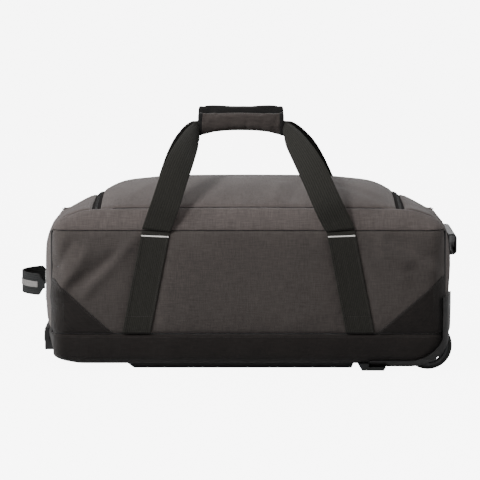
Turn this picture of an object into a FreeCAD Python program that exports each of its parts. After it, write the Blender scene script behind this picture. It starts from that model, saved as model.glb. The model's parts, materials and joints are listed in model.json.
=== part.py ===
import FreeCAD, Part
import math
import os

# Rolling duffel bag: soft body with a zipped lid, two carry handles, two wheels and a pull handle.
# Millimetres, +Z up, +X towards the wheels, -Y towards the front panel.
# The origin is on the floor under the middle of the whole bag.
V = FreeCAD.Vector

# ---------------------------------------------------------------- body
BODY_HALF = 337.0           # middle of the bag to the outside of an end panel, which is bowed
END_BOW = 15.0              # an end panel's upright edges stand back by this much
DEPTH_HALF = 167.0          # middle of the bag to the outside of the front or back panel
FLOOR_GAP = 12.0            # fabric bottom above the floor
BAND_TOP = 63.0             # seam between the dark band and the panels
PANEL_TOP = 235.0           # seam between the front panel and the sloping upper panel
END_TOP = 236.0             # seam between an end panel and the top border
SEAM_Z = 272.0              # long seams of the lid
SEAM_INSET = 20.0           # long seams, in from the front and the back
LID_TOP = 304.0
SHOULDER_INSET = 82.0       # where the top starts to fall, in from an end
SHOULDER_Z = 276.0
CORNER_R = 21.0             # upright corners, seen from above
LOWER_CORNER_LEFT = 46.0    # lower corner radii, seen from the front
LOWER_CORNER_RIGHT = 68.0
HEEL_TUCK = 6.0             # the right end stands back by this much above its lower corner
SOLE_TUCK = (19.0, 7.0)     # fabric bottom in from the sides: at its underside, and 12 mm up
WALL = 4.0                  # shell fabric with its foam
LINING = 1.0
PATCH = 0.8
PATCH_REACH = 118.0         # corner patch: along the band, and up from it
PATCH_RISE = 92.0
PATCH_PAST = 5.0            # its slope runs on past the end by this much
PIPING_R = 2.0

# ---------------------------------------------------------------- lid and zip
LID_INSET = 94.0            # lid panel's short edges, in from an end
ZIP_WIDTH = 14.0            # both tapes together
ZIP_GAP = 0.6               # between the two rows of teeth
TAPE = 2.0
TAPE_SINK = 1.0             # tape below the fabric's surface
HINGE_GAP = 0.4
SLIDER = (10.0, 5.0, 3.6)   # along the zip, across it, height
PULL = (30.0, 7.0, 1.6)
PULL_PIN_R = 0.7
RUN_CLEAR = 0.3             # between bodies that slide past each other

# ---------------------------------------------------------------- webbing
WEB_WIDTH = 48.0
WEB = 2.4
STRAP_FOOT_X = 184.0        # strap centre at the band
STRAP_TOP_X = 151.0         # strap centre at the bar tacks
GRIP_HALF = 73.0
GRIP_SHIFT = -12.0          # grip's middle, towards the loop
GRIP_BOTTOM = 376.0
GRIP_TOP = 430.0
GRIP_THICK = 17.0           # one half of the wrapped grip
GRIP_WEB_Y = 8.0            # webbing's middle inside a half
LOOP_WIDTH = 40.0
LOOP_REACH = 42.0
LOOP_HALF = 60.0
LOOP_Z = 130.0
LOOP_WEB = 3.0
LOOP_GAP = 2.5
LOOP_ROOT = 3.0             # half height of the narrowed root
ANCHOR = (2.5, 14.0, 52.0)

# ---------------------------------------------------------------- wheels
WHEEL_R = 40.0
WHEEL_WIDTH = 26.0
WHEEL_INSET = (39.5, 37.0)  # wheel's middle, in from the end and from the side
TYRE = 6.0
TREAD_R = 5.0
HUB_HOLES = (24.0, 5.5)     # distance from the axle, radius
BEARING = (11.0, 4.0, 7.0)  # outer radius, bore radius, width
WELL_CLEAR = 5.5
WELL_SIDE_CLEAR = 3.0
WELL_WALL = 3.5
GUARD = 6.0                 # corner guard outside the fabric
GUARD_TOP = 124.0
GUARD_RIM = 5.0             # lap onto the front face
GUARD_RUN = 97.5            # guard's foot, inwards from the wheel's middle
GUARD_DEEP = 75.0
AXLE_HEAD = (7.0, 2.5)
BORE_CLEAR = 0.05

# ---------------------------------------------------------------- underside
SKID_INSET = (132.0, 39.0)  # skid cover, in from the left end and from the sides
SKID_SLOPE = 16.0
SKID_WALL = 3.0
PAD_SIZE = (36.0, 52.0)
PAD_GAP = 12.0              # skid cover to pad, and pad's edge to the guard's foot
PAD_INSET = 11.0            # pad, in from the side
PAD_TAPER = 7.0
SCREW = (3.5, 2.2)
SCREW_SINK = 1.5

# ---------------------------------------------------------------- pull handle
TUBE_Z = 42.0
TUBE_Y = 60.0
OUTER_TUBE = (24.0, 16.0)   # width, height
TUBE_WALL = 1.2
TUBE_CLEAR = 0.3
TUBE_INSET = 45.0           # tubes' mouth, in from the left end
TUBE_SHORT = 61.5           # tubes' far end to the wheel's middle
STAGE_STEP = 15.0           # each inner tube ends this much short of the one around it
CUP = (150.0, 32.0)         # bezel opening: width, height
CUP_WALL = 2.5
BEZEL_LIP = 4.0
GRIP_BAR = (22.0, 142.0, 18.0)
GRIP_WALL = 2.5
GRIP_PROUD = 6.0
TUBE_IN_GRIP = 7.0
COLLAR = 8.0
ROD = (4.0, 4.0)
BUTTON = (8.0, 40.0, 9.0)
BUTTON_PROUD = 3.0
BUTTON_TRAVEL = 4.0
SPRING = (2.6, 0.6, 3)     # coil radius, wire radius, turns
PIN_R = 2.5
PIN_LENGTH = 4.5
SADDLE_X = (-150.0, 80.0)
SADDLE_LENGTH = 30.0
BRACKET = 14.0
BOARD = 3.0
BOARD_INSET = 53.0          # base board, in from the left end
BOARD_SHORT = 57.5          # base board to the wheel's middle

# ---------------------------------------------------------------- stand foot
FOOT_Z = (183.0, 218.0)
FOOT_REACH = 12.0
FOOT_DEEP = 19.0            # whole section, along X
FOOT_HALF = 75.0
FOOT_WALL = 2.5
FOOT_R = 7.5

# ---------------------------------------------------------------- places that follow the sizes above
SEAM_Y = DEPTH_HALF - SEAM_INSET
SHOULDER_X = BODY_HALF - SHOULDER_INSET
LID_HALF = BODY_HALF - LID_INSET
WHEEL_X = BODY_HALF - WHEEL_INSET[0]       # from the middle of the body
WHEEL_Y = DEPTH_HALF - WHEEL_INSET[1]
GUARD_FOOT_X = WHEEL_X - GUARD_RUN
GUARD_Y = (DEPTH_HALF - GUARD_DEEP, DEPTH_HALF)
PAD_X = (GUARD_FOOT_X - PAD_GAP, GUARD_FOOT_X - PAD_GAP + PAD_SIZE[0])
PAD_Y = (DEPTH_HALF - PAD_INSET - PAD_SIZE[1], DEPTH_HALF - PAD_INSET)
SKID_X = (-BODY_HALF + SKID_INSET[0], PAD_X[0] - PAD_GAP)
SKID_HALF = DEPTH_HALF - SKID_INSET[1]
TUBE_LEFT = -BODY_HALF + TUBE_INSET
TUBE_RIGHT = WHEEL_X - TUBE_SHORT
BOARD_LEFT = -BODY_HALF + BOARD_INSET
BOARD_RIGHT = WHEEL_X - BOARD_SHORT
LEFT_REACH = BODY_HALF + LOOP_GAP + ANCHOR[0] + LOOP_REACH
RIGHT_REACH = BODY_HALF + FOOT_REACH
MID_X = (LEFT_REACH - RIGHT_REACH) / 2     # the body's middle, from the origin
FAR = 600.0


# ---------------------------------------------------------------- helpers
def save(node, *solids):
    """Write one node; several solids stay separate inside it."""
    kept = []
    for shape in solids:
        kept += shape.Solids
    shape = kept[0] if len(kept) == 1 else Part.makeCompound(kept)
    shape = shape.copy()
    shape.translate(V(MID_X, 0, 0))
    shape.exportStep("parts/" + node + ".step")
    print(node, len(kept), "solids", round(shape.Volume / 1000, 2), "cm3", shape.isValid())


def block(x0, x1, y0, y1, z0, z1):
    return Part.makeBox(x1 - x0, y1 - y0, z1 - z0, V(x0, y0, z0))


def polygon(points):
    return Part.Face(Part.makePolygon(points + points[:1]))


def cylinder_y(x, z, radius, y0, y1):
    return Part.makeCylinder(radius, y1 - y0, V(x, y0, z), V(0, 1, 0))


def cylinder_z(x, y, radius, z0, z1):
    return Part.makeCylinder(radius, z1 - z0, V(x, y, z0))


def mirror_y(shape):
    return shape.mirror(V(0, 0, 0), V(0, 1, 0))


def mirror_x(shape):
    return shape.mirror(V(0, 0, 0), V(1, 0, 0))


def both_sides(shape):
    return [shape, mirror_y(shape)]


def rounded_tube(width, height, x0, x1, y, radius):
    """Flat-sided tube section with round corners, lying along X."""
    bar = block(x0, x1, y - width / 2, y + width / 2, TUBE_Z - height / 2, TUBE_Z + height / 2)
    edges = [e for e in bar.Edges if abs(e.tangentAt(e.FirstParameter).x) > 0.9]
    return bar.makeFillet(radius, edges)


# ---------------------------------------------------------------- body outlines
def side_outline():
    """Outline seen from the front, in the XZ plane."""
    left = -BODY_HALF
    right = BODY_HALF
    a = LOWER_CORNER_LEFT
    b = LOWER_CORNER_RIGHT
    slope = math.sin(math.radians(45))
    left_low = Part.Arc(V(left, 0, FLOOR_GAP + a), V(left + a * (1 - slope), 0, FLOOR_GAP + a * (1 - slope)),
                        V(left + a, 0, FLOOR_GAP))
    right_foot = right - HEEL_TUCK
    right_low = Part.Arc(V(right_foot - b, 0, FLOOR_GAP),
                         V(right_foot - b * (1 - slope), 0, FLOOR_GAP + b * (1 - slope)),
                         V(right_foot, 0, FLOOR_GAP + b))
    half = [
        V(right, 0, PANEL_TOP - 31),
        V(right - 4, 0, PANEL_TOP - 10),
        V(right - 12, 0, PANEL_TOP + 2),
        V(right - 28, 0, PANEL_TOP + 11),
        V(SHOULDER_X, 0, SHOULDER_Z),
        V(SHOULDER_X - 20, 0, SHOULDER_Z + 11),
        V(SHOULDER_X - 46, 0, LID_TOP - 9),
        V(SHOULDER_X - 90, 0, LID_TOP - 3),
    ]
    top = [V(right_foot, 0, FLOOR_GAP + b), V(right, 0, 2 * FLOOR_GAP + 2 * b)] + half + [V(0, 0, LID_TOP)]
    top += [V(-p.x, 0, p.z) for p in reversed(half)]
    top.append(V(left, 0, FLOOR_GAP + a))
    foot = Part.LineSegment(V(left + a, 0, FLOOR_GAP), V(right_foot - b, 0, FLOOR_GAP))
    edges = [left_low.toShape(), foot.toShape(), right_low.toShape()]
    edges += [Part.LineSegment(p, q).toShape() for p, q in zip(top, top[1:])]
    return Part.Wire(Part.__sortEdges__(edges))


def end_outline():
    """Outline seen from an end, in the YZ plane."""
    half = [
        V(0, DEPTH_HALF - SOLE_TUCK[0], FLOOR_GAP),
        V(0, DEPTH_HALF - SOLE_TUCK[1], FLOOR_GAP + 12),
        V(0, DEPTH_HALF, BAND_TOP),
        V(0, DEPTH_HALF, PANEL_TOP),
        V(0, SEAM_Y, SEAM_Z),
    ]
    other = [V(0, -p.y, p.z) for p in reversed(half)]
    lines = [Part.LineSegment(p, q).toShape() for p, q in zip(half, half[1:])]
    lines += [Part.LineSegment(p, q).toShape() for p, q in zip(other, other[1:])]
    lines.append(Part.LineSegment(other[-1], half[0]).toShape())
    lines.append(Part.Arc(half[-1], V(0, 0, LID_TOP), other[0]).toShape())
    return Part.Wire(Part.__sortEdges__(lines))


def prism(wire, inset, shift, reach):
    if inset:
        wire = wire.makeOffset2D(-inset)
    wire = wire.copy()
    wire.translate(shift * -0.5 * reach)
    return Part.Face(wire).extrude(shift * reach)


def hull(inset):
    """The whole soft body, shrunk inwards by inset."""
    length = prism(side_outline(), inset, V(0, 1, 0), FAR)
    depth = prism(end_outline(), inset, V(1, 0, 0), 2 * FAR)
    return length.common(depth).common(plan_space(inset))


def plan_space(inset):
    """Upright prism of the body's outline seen from above, with bowed ends and round corners."""
    ends = []
    for side in (1, -1):
        corner = V(side * (BODY_HALF - END_BOW), side * DEPTH_HALF, 0)
        ends.append((corner, V(side * BODY_HALF, 0, 0), V(corner.x, -corner.y, 0)))
    edges = [Part.Arc(*end).toShape() for end in ends]
    edges.append(Part.LineSegment(ends[0][2], ends[1][0]).toShape())
    edges.append(Part.LineSegment(ends[1][2], ends[0][0]).toShape())
    space = Part.Face(Part.Wire(Part.__sortEdges__(edges))).extrude(V(0, 0, FAR))
    upright = [e for e in space.Edges if len(e.Vertexes) == 2 and abs(e.tangentAt(e.FirstParameter).z) > 0.9]
    space = space.makeFillet(CORNER_R, upright)
    if not inset:
        return space
    foot = [f for f in space.Faces if abs(f.CenterOfMass.z) < 0.01][0]
    return Part.Face(foot.OuterWire.makeOffset2D(-inset)).extrude(V(0, 0, FAR))


def end_x(y):
    """Outside of an end panel at a distance y from the middle."""
    radius = (DEPTH_HALF ** 2 + END_BOW ** 2) / (2 * END_BOW)
    return BODY_HALF - radius + math.sqrt(radius ** 2 - y ** 2)


# ---------------------------------------------------------------- wheel wells
WELL_R = WHEEL_R + WELL_CLEAR
WELL_HALF = WHEEL_WIDTH / 2 + WELL_SIDE_CLEAR


def well_space(grow):
    """Space of the near wheel well, grown by grow."""
    half = WELL_HALF + grow
    return cylinder_y(WHEEL_X, WHEEL_R, WELL_R + grow, -WHEEL_Y - half, -WHEEL_Y + half)


def axle_heads(grow):
    """Heads of the near axle, on both sides of its well, grown by grow."""
    radius, thick = AXLE_HEAD
    inner = WELL_HALF + WELL_WALL
    outer = inner + thick + grow
    left = cylinder_y(WHEEL_X, WHEEL_R, radius + grow, -WHEEL_Y - outer, -WHEEL_Y - inner)
    right = cylinder_y(WHEEL_X, WHEEL_R, radius + grow, -WHEEL_Y + inner, -WHEEL_Y + outer)
    return left, right


def cut_wells(shape, grow):
    for tool in (well_space(grow),) + axle_heads(RUN_CLEAR):
        shape = shape.cut(tool).cut(mirror_y(tool))
    return shape


# ---------------------------------------------------------------- soft body
def soft_body():
    outer = hull(0)
    wall = cut_wells(outer.cut(hull(WALL)), WELL_WALL)
    bezel_hole = block(-FAR, TUBE_LEFT + 1, -CUP[0] / 2 - CUP_WALL, CUP[0] / 2 + CUP_WALL,
                       TUBE_Z - CUP[1] / 2 - CUP_WALL, TUBE_Z + CUP[1] / 2 + CUP_WALL)
    wall = wall.cut(bezel_hole)
    bottom = FLOOR_GAP + WALL
    save("bottom_panel", wall.common(block(-FAR, FAR, -FAR, FAR, 0, bottom)))
    save("band_front", wall.common(block(-FAR, FAR, -FAR, -SEAM_Y, bottom, BAND_TOP)))
    save("band_back", wall.common(block(-FAR, FAR, SEAM_Y, FAR, bottom, BAND_TOP)))
    save("band_left", wall.common(block(-FAR, 0, -SEAM_Y, SEAM_Y, bottom, BAND_TOP)))
    save("band_right", wall.common(block(0, FAR, -SEAM_Y, SEAM_Y, bottom, BAND_TOP)))
    save("front_panel", wall.common(block(-FAR, FAR, -FAR, -SEAM_Y, BAND_TOP, PANEL_TOP)))
    save("back_panel", wall.common(block(-FAR, FAR, SEAM_Y, FAR, BAND_TOP, PANEL_TOP)))
    save("end_panel_left", wall.common(block(-FAR, 0, -SEAM_Y, SEAM_Y, BAND_TOP, END_TOP)))
    save("end_panel_right", wall.common(block(0, FAR, -SEAM_Y, SEAM_Y, BAND_TOP, END_TOP)))
    save("upper_panel_front", wall.common(block(-FAR, FAR, -FAR, -SEAM_Y, PANEL_TOP, FAR)))
    save("upper_panel_back", wall.common(block(-FAR, FAR, SEAM_Y, FAR, PANEL_TOP, FAR)))
    zip_out = LID_HALF + ZIP_WIDTH
    save("top_border_left", wall.common(block(-FAR, -zip_out, -SEAM_Y, SEAM_Y, END_TOP, FAR)))
    save("top_border_right", wall.common(block(zip_out, FAR, -SEAM_Y, SEAM_Y, END_TOP, FAR)))
    save_lid(wall)
    save_zip_tapes()
    save_lining()
    save_patches(outer)


def save_lid(wall):
    far_edge = SEAM_Y - ZIP_WIDTH
    save("lid_panel", wall.common(block(-LID_HALF, LID_HALF, -SEAM_Y + HINGE_GAP, far_edge, END_TOP, FAR)))
    skin = hull(WALL).cut(hull(WALL + LINING))
    save("lid_lining", skin.common(block(-LID_HALF, LID_HALF, -SEAM_Y + HINGE_GAP, far_edge, END_TOP, FAR)))


def save_zip_tapes():
    tape = hull(TAPE_SINK).cut(hull(TAPE_SINK + TAPE))
    near = -SEAM_Y + HINGE_GAP
    zip_out = LID_HALF + ZIP_WIDTH
    middle = LID_HALF + ZIP_WIDTH / 2
    far_middle = SEAM_Y - ZIP_WIDTH / 2
    half = ZIP_GAP / 2
    fixed = block(-zip_out, zip_out, near, SEAM_Y, END_TOP, FAR)
    fixed = fixed.cut(block(-middle - half, middle + half, -FAR, far_middle + half, 0, FAR))
    moving = block(-middle + half, middle - half, near, far_middle - half, END_TOP, FAR)
    moving = moving.cut(block(-LID_HALF, LID_HALF, -FAR, SEAM_Y - ZIP_WIDTH, 0, FAR))
    save("zip_tape_fixed", tape.common(fixed))
    save("zip_tape_lid", tape.common(moving))


def board_top():
    return TUBE_Z + OUTER_TUBE[1] / 2 + BOARD


def save_lining():
    inner = hull(WALL)
    zip_out = LID_HALF + ZIP_WIDTH
    skin = inner.cut(hull(WALL + LINING)).common(block(-FAR, FAR, -FAR, FAR, board_top() + LINING, FAR))
    skin = skin.cut(block(-zip_out, zip_out, -SEAM_Y, SEAM_Y, END_TOP, FAR))
    floor = inner.common(block(BOARD_LEFT, BOARD_RIGHT, -FAR, FAR, board_top(), board_top() + LINING))
    bezel = block(-FAR, TUBE_LEFT + CUP_WALL, -CUP[0] / 2 - 2 * CUP_WALL, CUP[0] / 2 + 2 * CUP_WALL, 0,
                  TUBE_Z + CUP[1] / 2 + 2 * CUP_WALL)
    save("lining", cut_wells(skin.fuse(floor), WELL_WALL).cut(bezel))
    board = inner.common(block(BOARD_LEFT, BOARD_RIGHT, -FAR, FAR, board_top() - BOARD, board_top()))
    save("base_board", cut_wells(board, WELL_WALL))


def save_patches(outer):
    """Abrasion patches over the lower corners, and the piping up the upright edges."""
    skin = hull(-PATCH).cut(outer)
    past = -BODY_HALF - PATCH_PAST
    corner = polygon([V(past, -FAR, BAND_TOP), V(-BODY_HALF + PATCH_REACH, -FAR, BAND_TOP),
                      V(past, -FAR, BAND_TOP + PATCH_RISE)])
    corner = corner.extrude(V(0, FAR - SEAM_Y - PIPING_R - RUN_CLEAR, 0))
    guard_place = block(GUARD_FOOT_X, FAR, -GUARD_Y[1], 0, 0, GUARD_TOP)
    patches = []
    for mould in (corner, mirror_x(corner)):
        patches += both_sides(skin.common(mould).cut(guard_place))
    save("corner_patches", *patches)
    cords = []
    for side in (-1, 1):
        x = side * (end_x(SEAM_Y) + PIPING_R + 0.1)
        cord = cylinder_z(x, -SEAM_Y, PIPING_R, GUARD_TOP + 4, PANEL_TOP - 8)
        cords += both_sides(cord)
    save("edge_piping", *cords)


# ---------------------------------------------------------------- webbing
def strap_tail(side):
    """Sewn lower part of a strap on the front panel."""
    half = WEB_WIDTH / 2
    face = -DEPTH_HALF
    foot = side * STRAP_FOOT_X
    top = side * STRAP_TOP_X
    points = [V(foot - half, face, BAND_TOP), V(foot + half, face, BAND_TOP),
              V(top + half, face, PANEL_TOP), V(top - half, face, PANEL_TOP)]
    return polygon(points).extrude(V(0, -WEB, 0))


def ribbon_corners(centre, tangent, across):
    """Four corners of the webbing's section, square to the strap's run."""
    across = (across - tangent * (across.dot(tangent) / tangent.dot(tangent))).normalize()
    through = V(tangent).cross(across).normalize()
    a = across * (WEB_WIDTH / 2)
    b = through * (WEB / 2)
    return [centre - a - b, centre + a - b, centre + a + b, centre - a + b]


def ribbon_span(p, q):
    """Solid between two sections; both broad faces fold on the same diagonal."""
    faces = [polygon(p), polygon(q)]
    folds = ((p[0], p[1], q[1], q[0]), (q[1], p[1], p[2], q[2]),
             (p[3], p[2], q[2], q[3]), (q[0], p[0], p[3], q[3]))
    for a, b, c, d in folds:
        faces += [polygon([a, b, c]), polygon([a, c, d])]
    solid = Part.Solid(Part.Shell(faces))
    if solid.Volume < 0:
        solid.reverse()
    return solid


def handle_leg(reach):
    """Webbing from the left bar tack up to the grip, which is this much nearer to the middle."""
    face = -DEPTH_HALF - WEB / 2
    lean = V(reach / 4, 0, 0)
    climb = (       # share of the way inwards, place along Y and Z, run, width direction
        (0.00, face, PANEL_TOP + HINGE_GAP, V(0, 0, 1), V(1, 0, 0)),
        (0.24, face - 3, PANEL_TOP + 45, V(0, 3, 45) + lean, V(1, 0, -0.10)),
        (0.44, face + 18, PANEL_TOP + 86, V(0, 34, 40) + lean, V(1, 0.10, -0.30)),
        (0.70, -100, GRIP_BOTTOM - 13, V(0, 50, 32) + lean, V(1, 0.10, -0.60)),
        (0.85, -46, GRIP_BOTTOM + 14, V(0, 50, 22) + lean, V(0.8, 0, -1)),
        (1.00, -GRIP_WEB_Y, (GRIP_BOTTOM + GRIP_TOP) / 2, V(1, 0, 0), V(0, 0, -1)),
    )
    sections = [ribbon_corners(V(share * reach - STRAP_TOP_X, y, z), run, across)
                for share, y, z, run, across in climb]
    return [ribbon_span(p, q) for p, q in zip(sections, sections[1:])]


def handle_strap():
    """Free part of the front webbing: up from the bar tacks, through the grip, and back down."""
    left = handle_leg(STRAP_TOP_X + GRIP_SHIFT - GRIP_HALF)
    right = handle_leg(STRAP_TOP_X - GRIP_SHIFT - GRIP_HALF)
    middle_z = (GRIP_BOTTOM + GRIP_TOP) / 2
    middle = block(GRIP_SHIFT - GRIP_HALF, GRIP_SHIFT + GRIP_HALF, -GRIP_WEB_Y - WEB / 2, -GRIP_WEB_Y + WEB / 2,
                   middle_z - WEB_WIDTH / 2, middle_z + WEB_WIDTH / 2)
    return middle.fuse(left + [mirror_x(span) for span in right])


def carry_handles():
    tails = [strap_tail(-1), strap_tail(1)]
    save("strap_tails_front", *tails)
    save("strap_tails_back", *[mirror_y(t) for t in tails])
    strap = handle_strap()
    save("handle_strap_front", strap)
    save("handle_strap_back", mirror_y(strap))
    grip = block(GRIP_SHIFT - GRIP_HALF, GRIP_SHIFT + GRIP_HALF, -GRIP_THICK, -RUN_CLEAR / 2,
                 GRIP_BOTTOM, GRIP_TOP)
    outer_edges = [e for e in grip.Edges
                   if abs(e.tangentAt(e.FirstParameter).x) > 0.9 and e.CenterOfMass.y < -GRIP_THICK + 1]
    grip = grip.makeFillet(8.0, outer_edges).cut(strap)
    save("handle_grip_front", grip)
    save("handle_grip_back", mirror_y(grip))


def end_handle():
    """Webbing loop on the left end, its root narrowed so that it can tip up and down."""
    root = -BODY_HALF - LOOP_GAP - ANCHOR[0]
    z0 = LOOP_Z - LOOP_WIDTH / 2
    z1 = LOOP_Z + LOOP_WIDTH / 2

    def arch(half, reach):
        line = Part.LineSegment(V(root, half, z0), V(root, -half, z0)).toShape()
        bow = Part.Arc(V(root, -half, z0), V(root - reach, 0, z0), V(root, half, z0)).toShape()
        return Part.Face(Part.Wire([line, bow])).extrude(V(0, 0, z1 - z0))

    loop = arch(LOOP_HALF, LOOP_REACH).cut(arch(LOOP_HALF - LOOP_WEB, LOOP_REACH - LOOP_WEB))
    run = 15.0
    for up in (-1, 1):
        edge = up * LOOP_WIDTH
        wedge = polygon([V(root + 1, -FAR, LOOP_Z + up * LOOP_ROOT),
                         V(root - run, -FAR, LOOP_Z + up * LOOP_WIDTH / 2),
                         V(root - run, -FAR, LOOP_Z + edge), V(root + 1, -FAR, LOOP_Z + edge)])
        loop = loop.cut(wedge.extrude(V(0, 2 * FAR, 0)))
    save("end_handle_loop", loop)
    body = hull(0)
    anchors = []
    face = -BODY_HALF
    middle = LOOP_HALF - LOOP_WEB / 2
    for side in (-1, 1):
        y = side * middle
        anchor = block(face - ANCHOR[0], face + 10, y - ANCHOR[1] / 2, y + ANCHOR[1] / 2,
                       LOOP_Z - ANCHOR[2] / 2, LOOP_Z + ANCHOR[2] / 2)
        rise = [e for e in anchor.Edges if e.CenterOfMass.x < face - ANCHOR[0] + 0.1]
        anchors.append(anchor.makeFillet(1.2, rise).cut(body))
    save("end_handle_anchors", *anchors)


# ---------------------------------------------------------------- zip sliders
def zip_sliders():
    """Two sliders that meet at the middle of the far seam, with their pulls."""
    arc_r = (SEAM_Y ** 2 + (LID_TOP - SEAM_Z) ** 2) / (2 * (LID_TOP - SEAM_Z))
    y = SEAM_Y - ZIP_WIDTH / 4
    z = LID_TOP - arc_r + math.sqrt(arc_r ** 2 - y ** 2)
    tilt = -math.degrees(math.asin(y / arc_r))
    length, width, height = SLIDER
    base = RUN_CLEAR + 0.2
    for name, side in (("left", -1), ("right", 1)):
        middle = side * (length / 2 + 1)
        body = block(middle - length / 2, middle + length / 2, -width / 2, width / 2, base, base + height)
        body = body.makeFillet(0.8, body.Edges)
        eye_z = base + height + PULL_PIN_R + 0.3
        bridge = block(middle - 1.6, middle + 1.6, -width / 2 + 0.6, width / 2 - 0.6, base + height - 0.9,
                       eye_z + PULL_PIN_R + 0.9)
        hole = cylinder_y(middle, eye_z, PULL_PIN_R + BORE_CLEAR, -FAR, FAR)
        slider = body.fuse(bridge).cut(hole)
        span = PULL[1] / 2
        pin = cylinder_y(middle, eye_z, PULL_PIN_R, -span, span)
        start = middle
        end = middle + side * PULL[0]
        tab = block(min(start, end), max(start, end), -span, span, eye_z - PULL[2] / 2, eye_z + PULL[2] / 2)
        gap = block(middle - 2.4, middle + 2.4, -width / 2, width / 2, 0, 20)
        pull = tab.cut(gap).fuse(pin)
        for node, shape in (("zip_slider_" + name, slider), ("zip_pull_" + name, pull)):
            shape.rotate(V(0, 0, 0), V(1, 0, 0), tilt)
            shape.translate(V(0, y, z))
            save(node, shape)
    up = V(0, math.sin(math.radians(-tilt)), math.cos(math.radians(tilt)))
    print("pull pivot", V(0, y, z) + up * eye_z, "axis tilt", tilt, "slider x", MID_X, length / 2 + 1)


# ---------------------------------------------------------------- wheels
def wheels():
    width = WHEEL_WIDTH
    y0 = -WHEEL_Y - width / 2
    y1 = -WHEEL_Y + width / 2
    bearing_r, bore_r, bearing_w = BEARING
    rim_r = WHEEL_R - TYRE
    tyre = cylinder_y(WHEEL_X, WHEEL_R, WHEEL_R, y0, y1)
    rims = [e for e in tyre.Edges if e.Length > 200 and e.Curve.TypeId == "Part::GeomCircle"]
    tyre = tyre.makeFillet(TREAD_R, rims)
    tyre = tyre.cut(cylinder_y(WHEEL_X, WHEEL_R, rim_r, y0 - 1, y1 + 1))
    hub = cylinder_y(WHEEL_X, WHEEL_R, rim_r, y0 + 1, y1 - 1)
    dish = 5.0
    ring = cylinder_y(WHEEL_X, WHEEL_R, rim_r - 4, y0, y0 + dish).cut(
        cylinder_y(WHEEL_X, WHEEL_R, bearing_r + 4, y0 - 1, y0 + dish + 1))
    hub = hub.cut(ring).cut(ring.mirror(V(0, -WHEEL_Y, 0), V(0, 1, 0)))
    hub = hub.cut(cylinder_y(WHEEL_X, WHEEL_R, bore_r + 1, y0, y1))
    seats = []
    bearings = []
    for a, b in ((y0 + 1, y0 + 1 + bearing_w), (y1 - 1 - bearing_w, y1 - 1)):
        seats.append(cylinder_y(WHEEL_X, WHEEL_R, bearing_r, a, b))
        bearings.append(seats[-1].cut(cylinder_y(WHEEL_X, WHEEL_R, bore_r + BORE_CLEAR, a - 1, b + 1)))
    hub = hub.cut(Part.makeCompound(seats))
    for i in range(5):
        turn = math.radians(72 * i + 18)
        x = WHEEL_X + HUB_HOLES[0] * math.cos(turn)
        z = WHEEL_R + HUB_HOLES[0] * math.sin(turn)
        hub = hub.cut(cylinder_y(x, z, HUB_HOLES[1], y0, y1))
    for name, flip in (("near", False), ("far", True)):
        for node, shapes in (("wheel_tyre_", [tyre]), ("wheel_hub_", [hub]), ("wheel_bearings_", bearings)):
            save(node + name, *[mirror_y(s) if flip else s for s in shapes])


def wheel_housing():
    """Corner guard and wheel well for the near wheel, moulded as one piece."""
    body = hull(0)
    guard = hull(-GUARD).cut(body)
    guard = guard.common(block(GUARD_FOOT_X, FAR, -GUARD_Y[1], -GUARD_Y[0], 0, GUARD_TOP))
    face = hull_side(GUARD_RIM).common(block(-FAR, end_x(SEAM_Y) - GUARD_RIM, -FAR, FAR, 0, FAR))
    guard = guard.cut(face.cut(body))
    well = well_space(WELL_WALL).common(body)
    housing = guard.fuse(well).cut(well_space(0))
    hole = cylinder_y(WHEEL_X, WHEEL_R, BEARING[1], -WHEEL_Y - WELL_HALF - 10, -WHEEL_Y + WELL_HALF + 10)
    housing = housing.cut(hole).removeSplitter()
    y0 = -WHEEL_Y - WELL_HALF - WELL_WALL
    y1 = -WHEEL_Y + WELL_HALF + WELL_WALL
    axle = cylinder_y(WHEEL_X, WHEEL_R, BEARING[1], y0, y1)
    axle = axle.fuse(axle_heads(0)).removeSplitter()
    save("wheel_housing_near", housing)
    save("wheel_housing_far", mirror_y(housing))
    save("axles", *both_sides(axle))


def hull_side(inset):
    """The body's front outline as a full-depth prism, shrunk inwards by inset."""
    return prism(side_outline(), inset, V(0, 1, 0), FAR)


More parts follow.
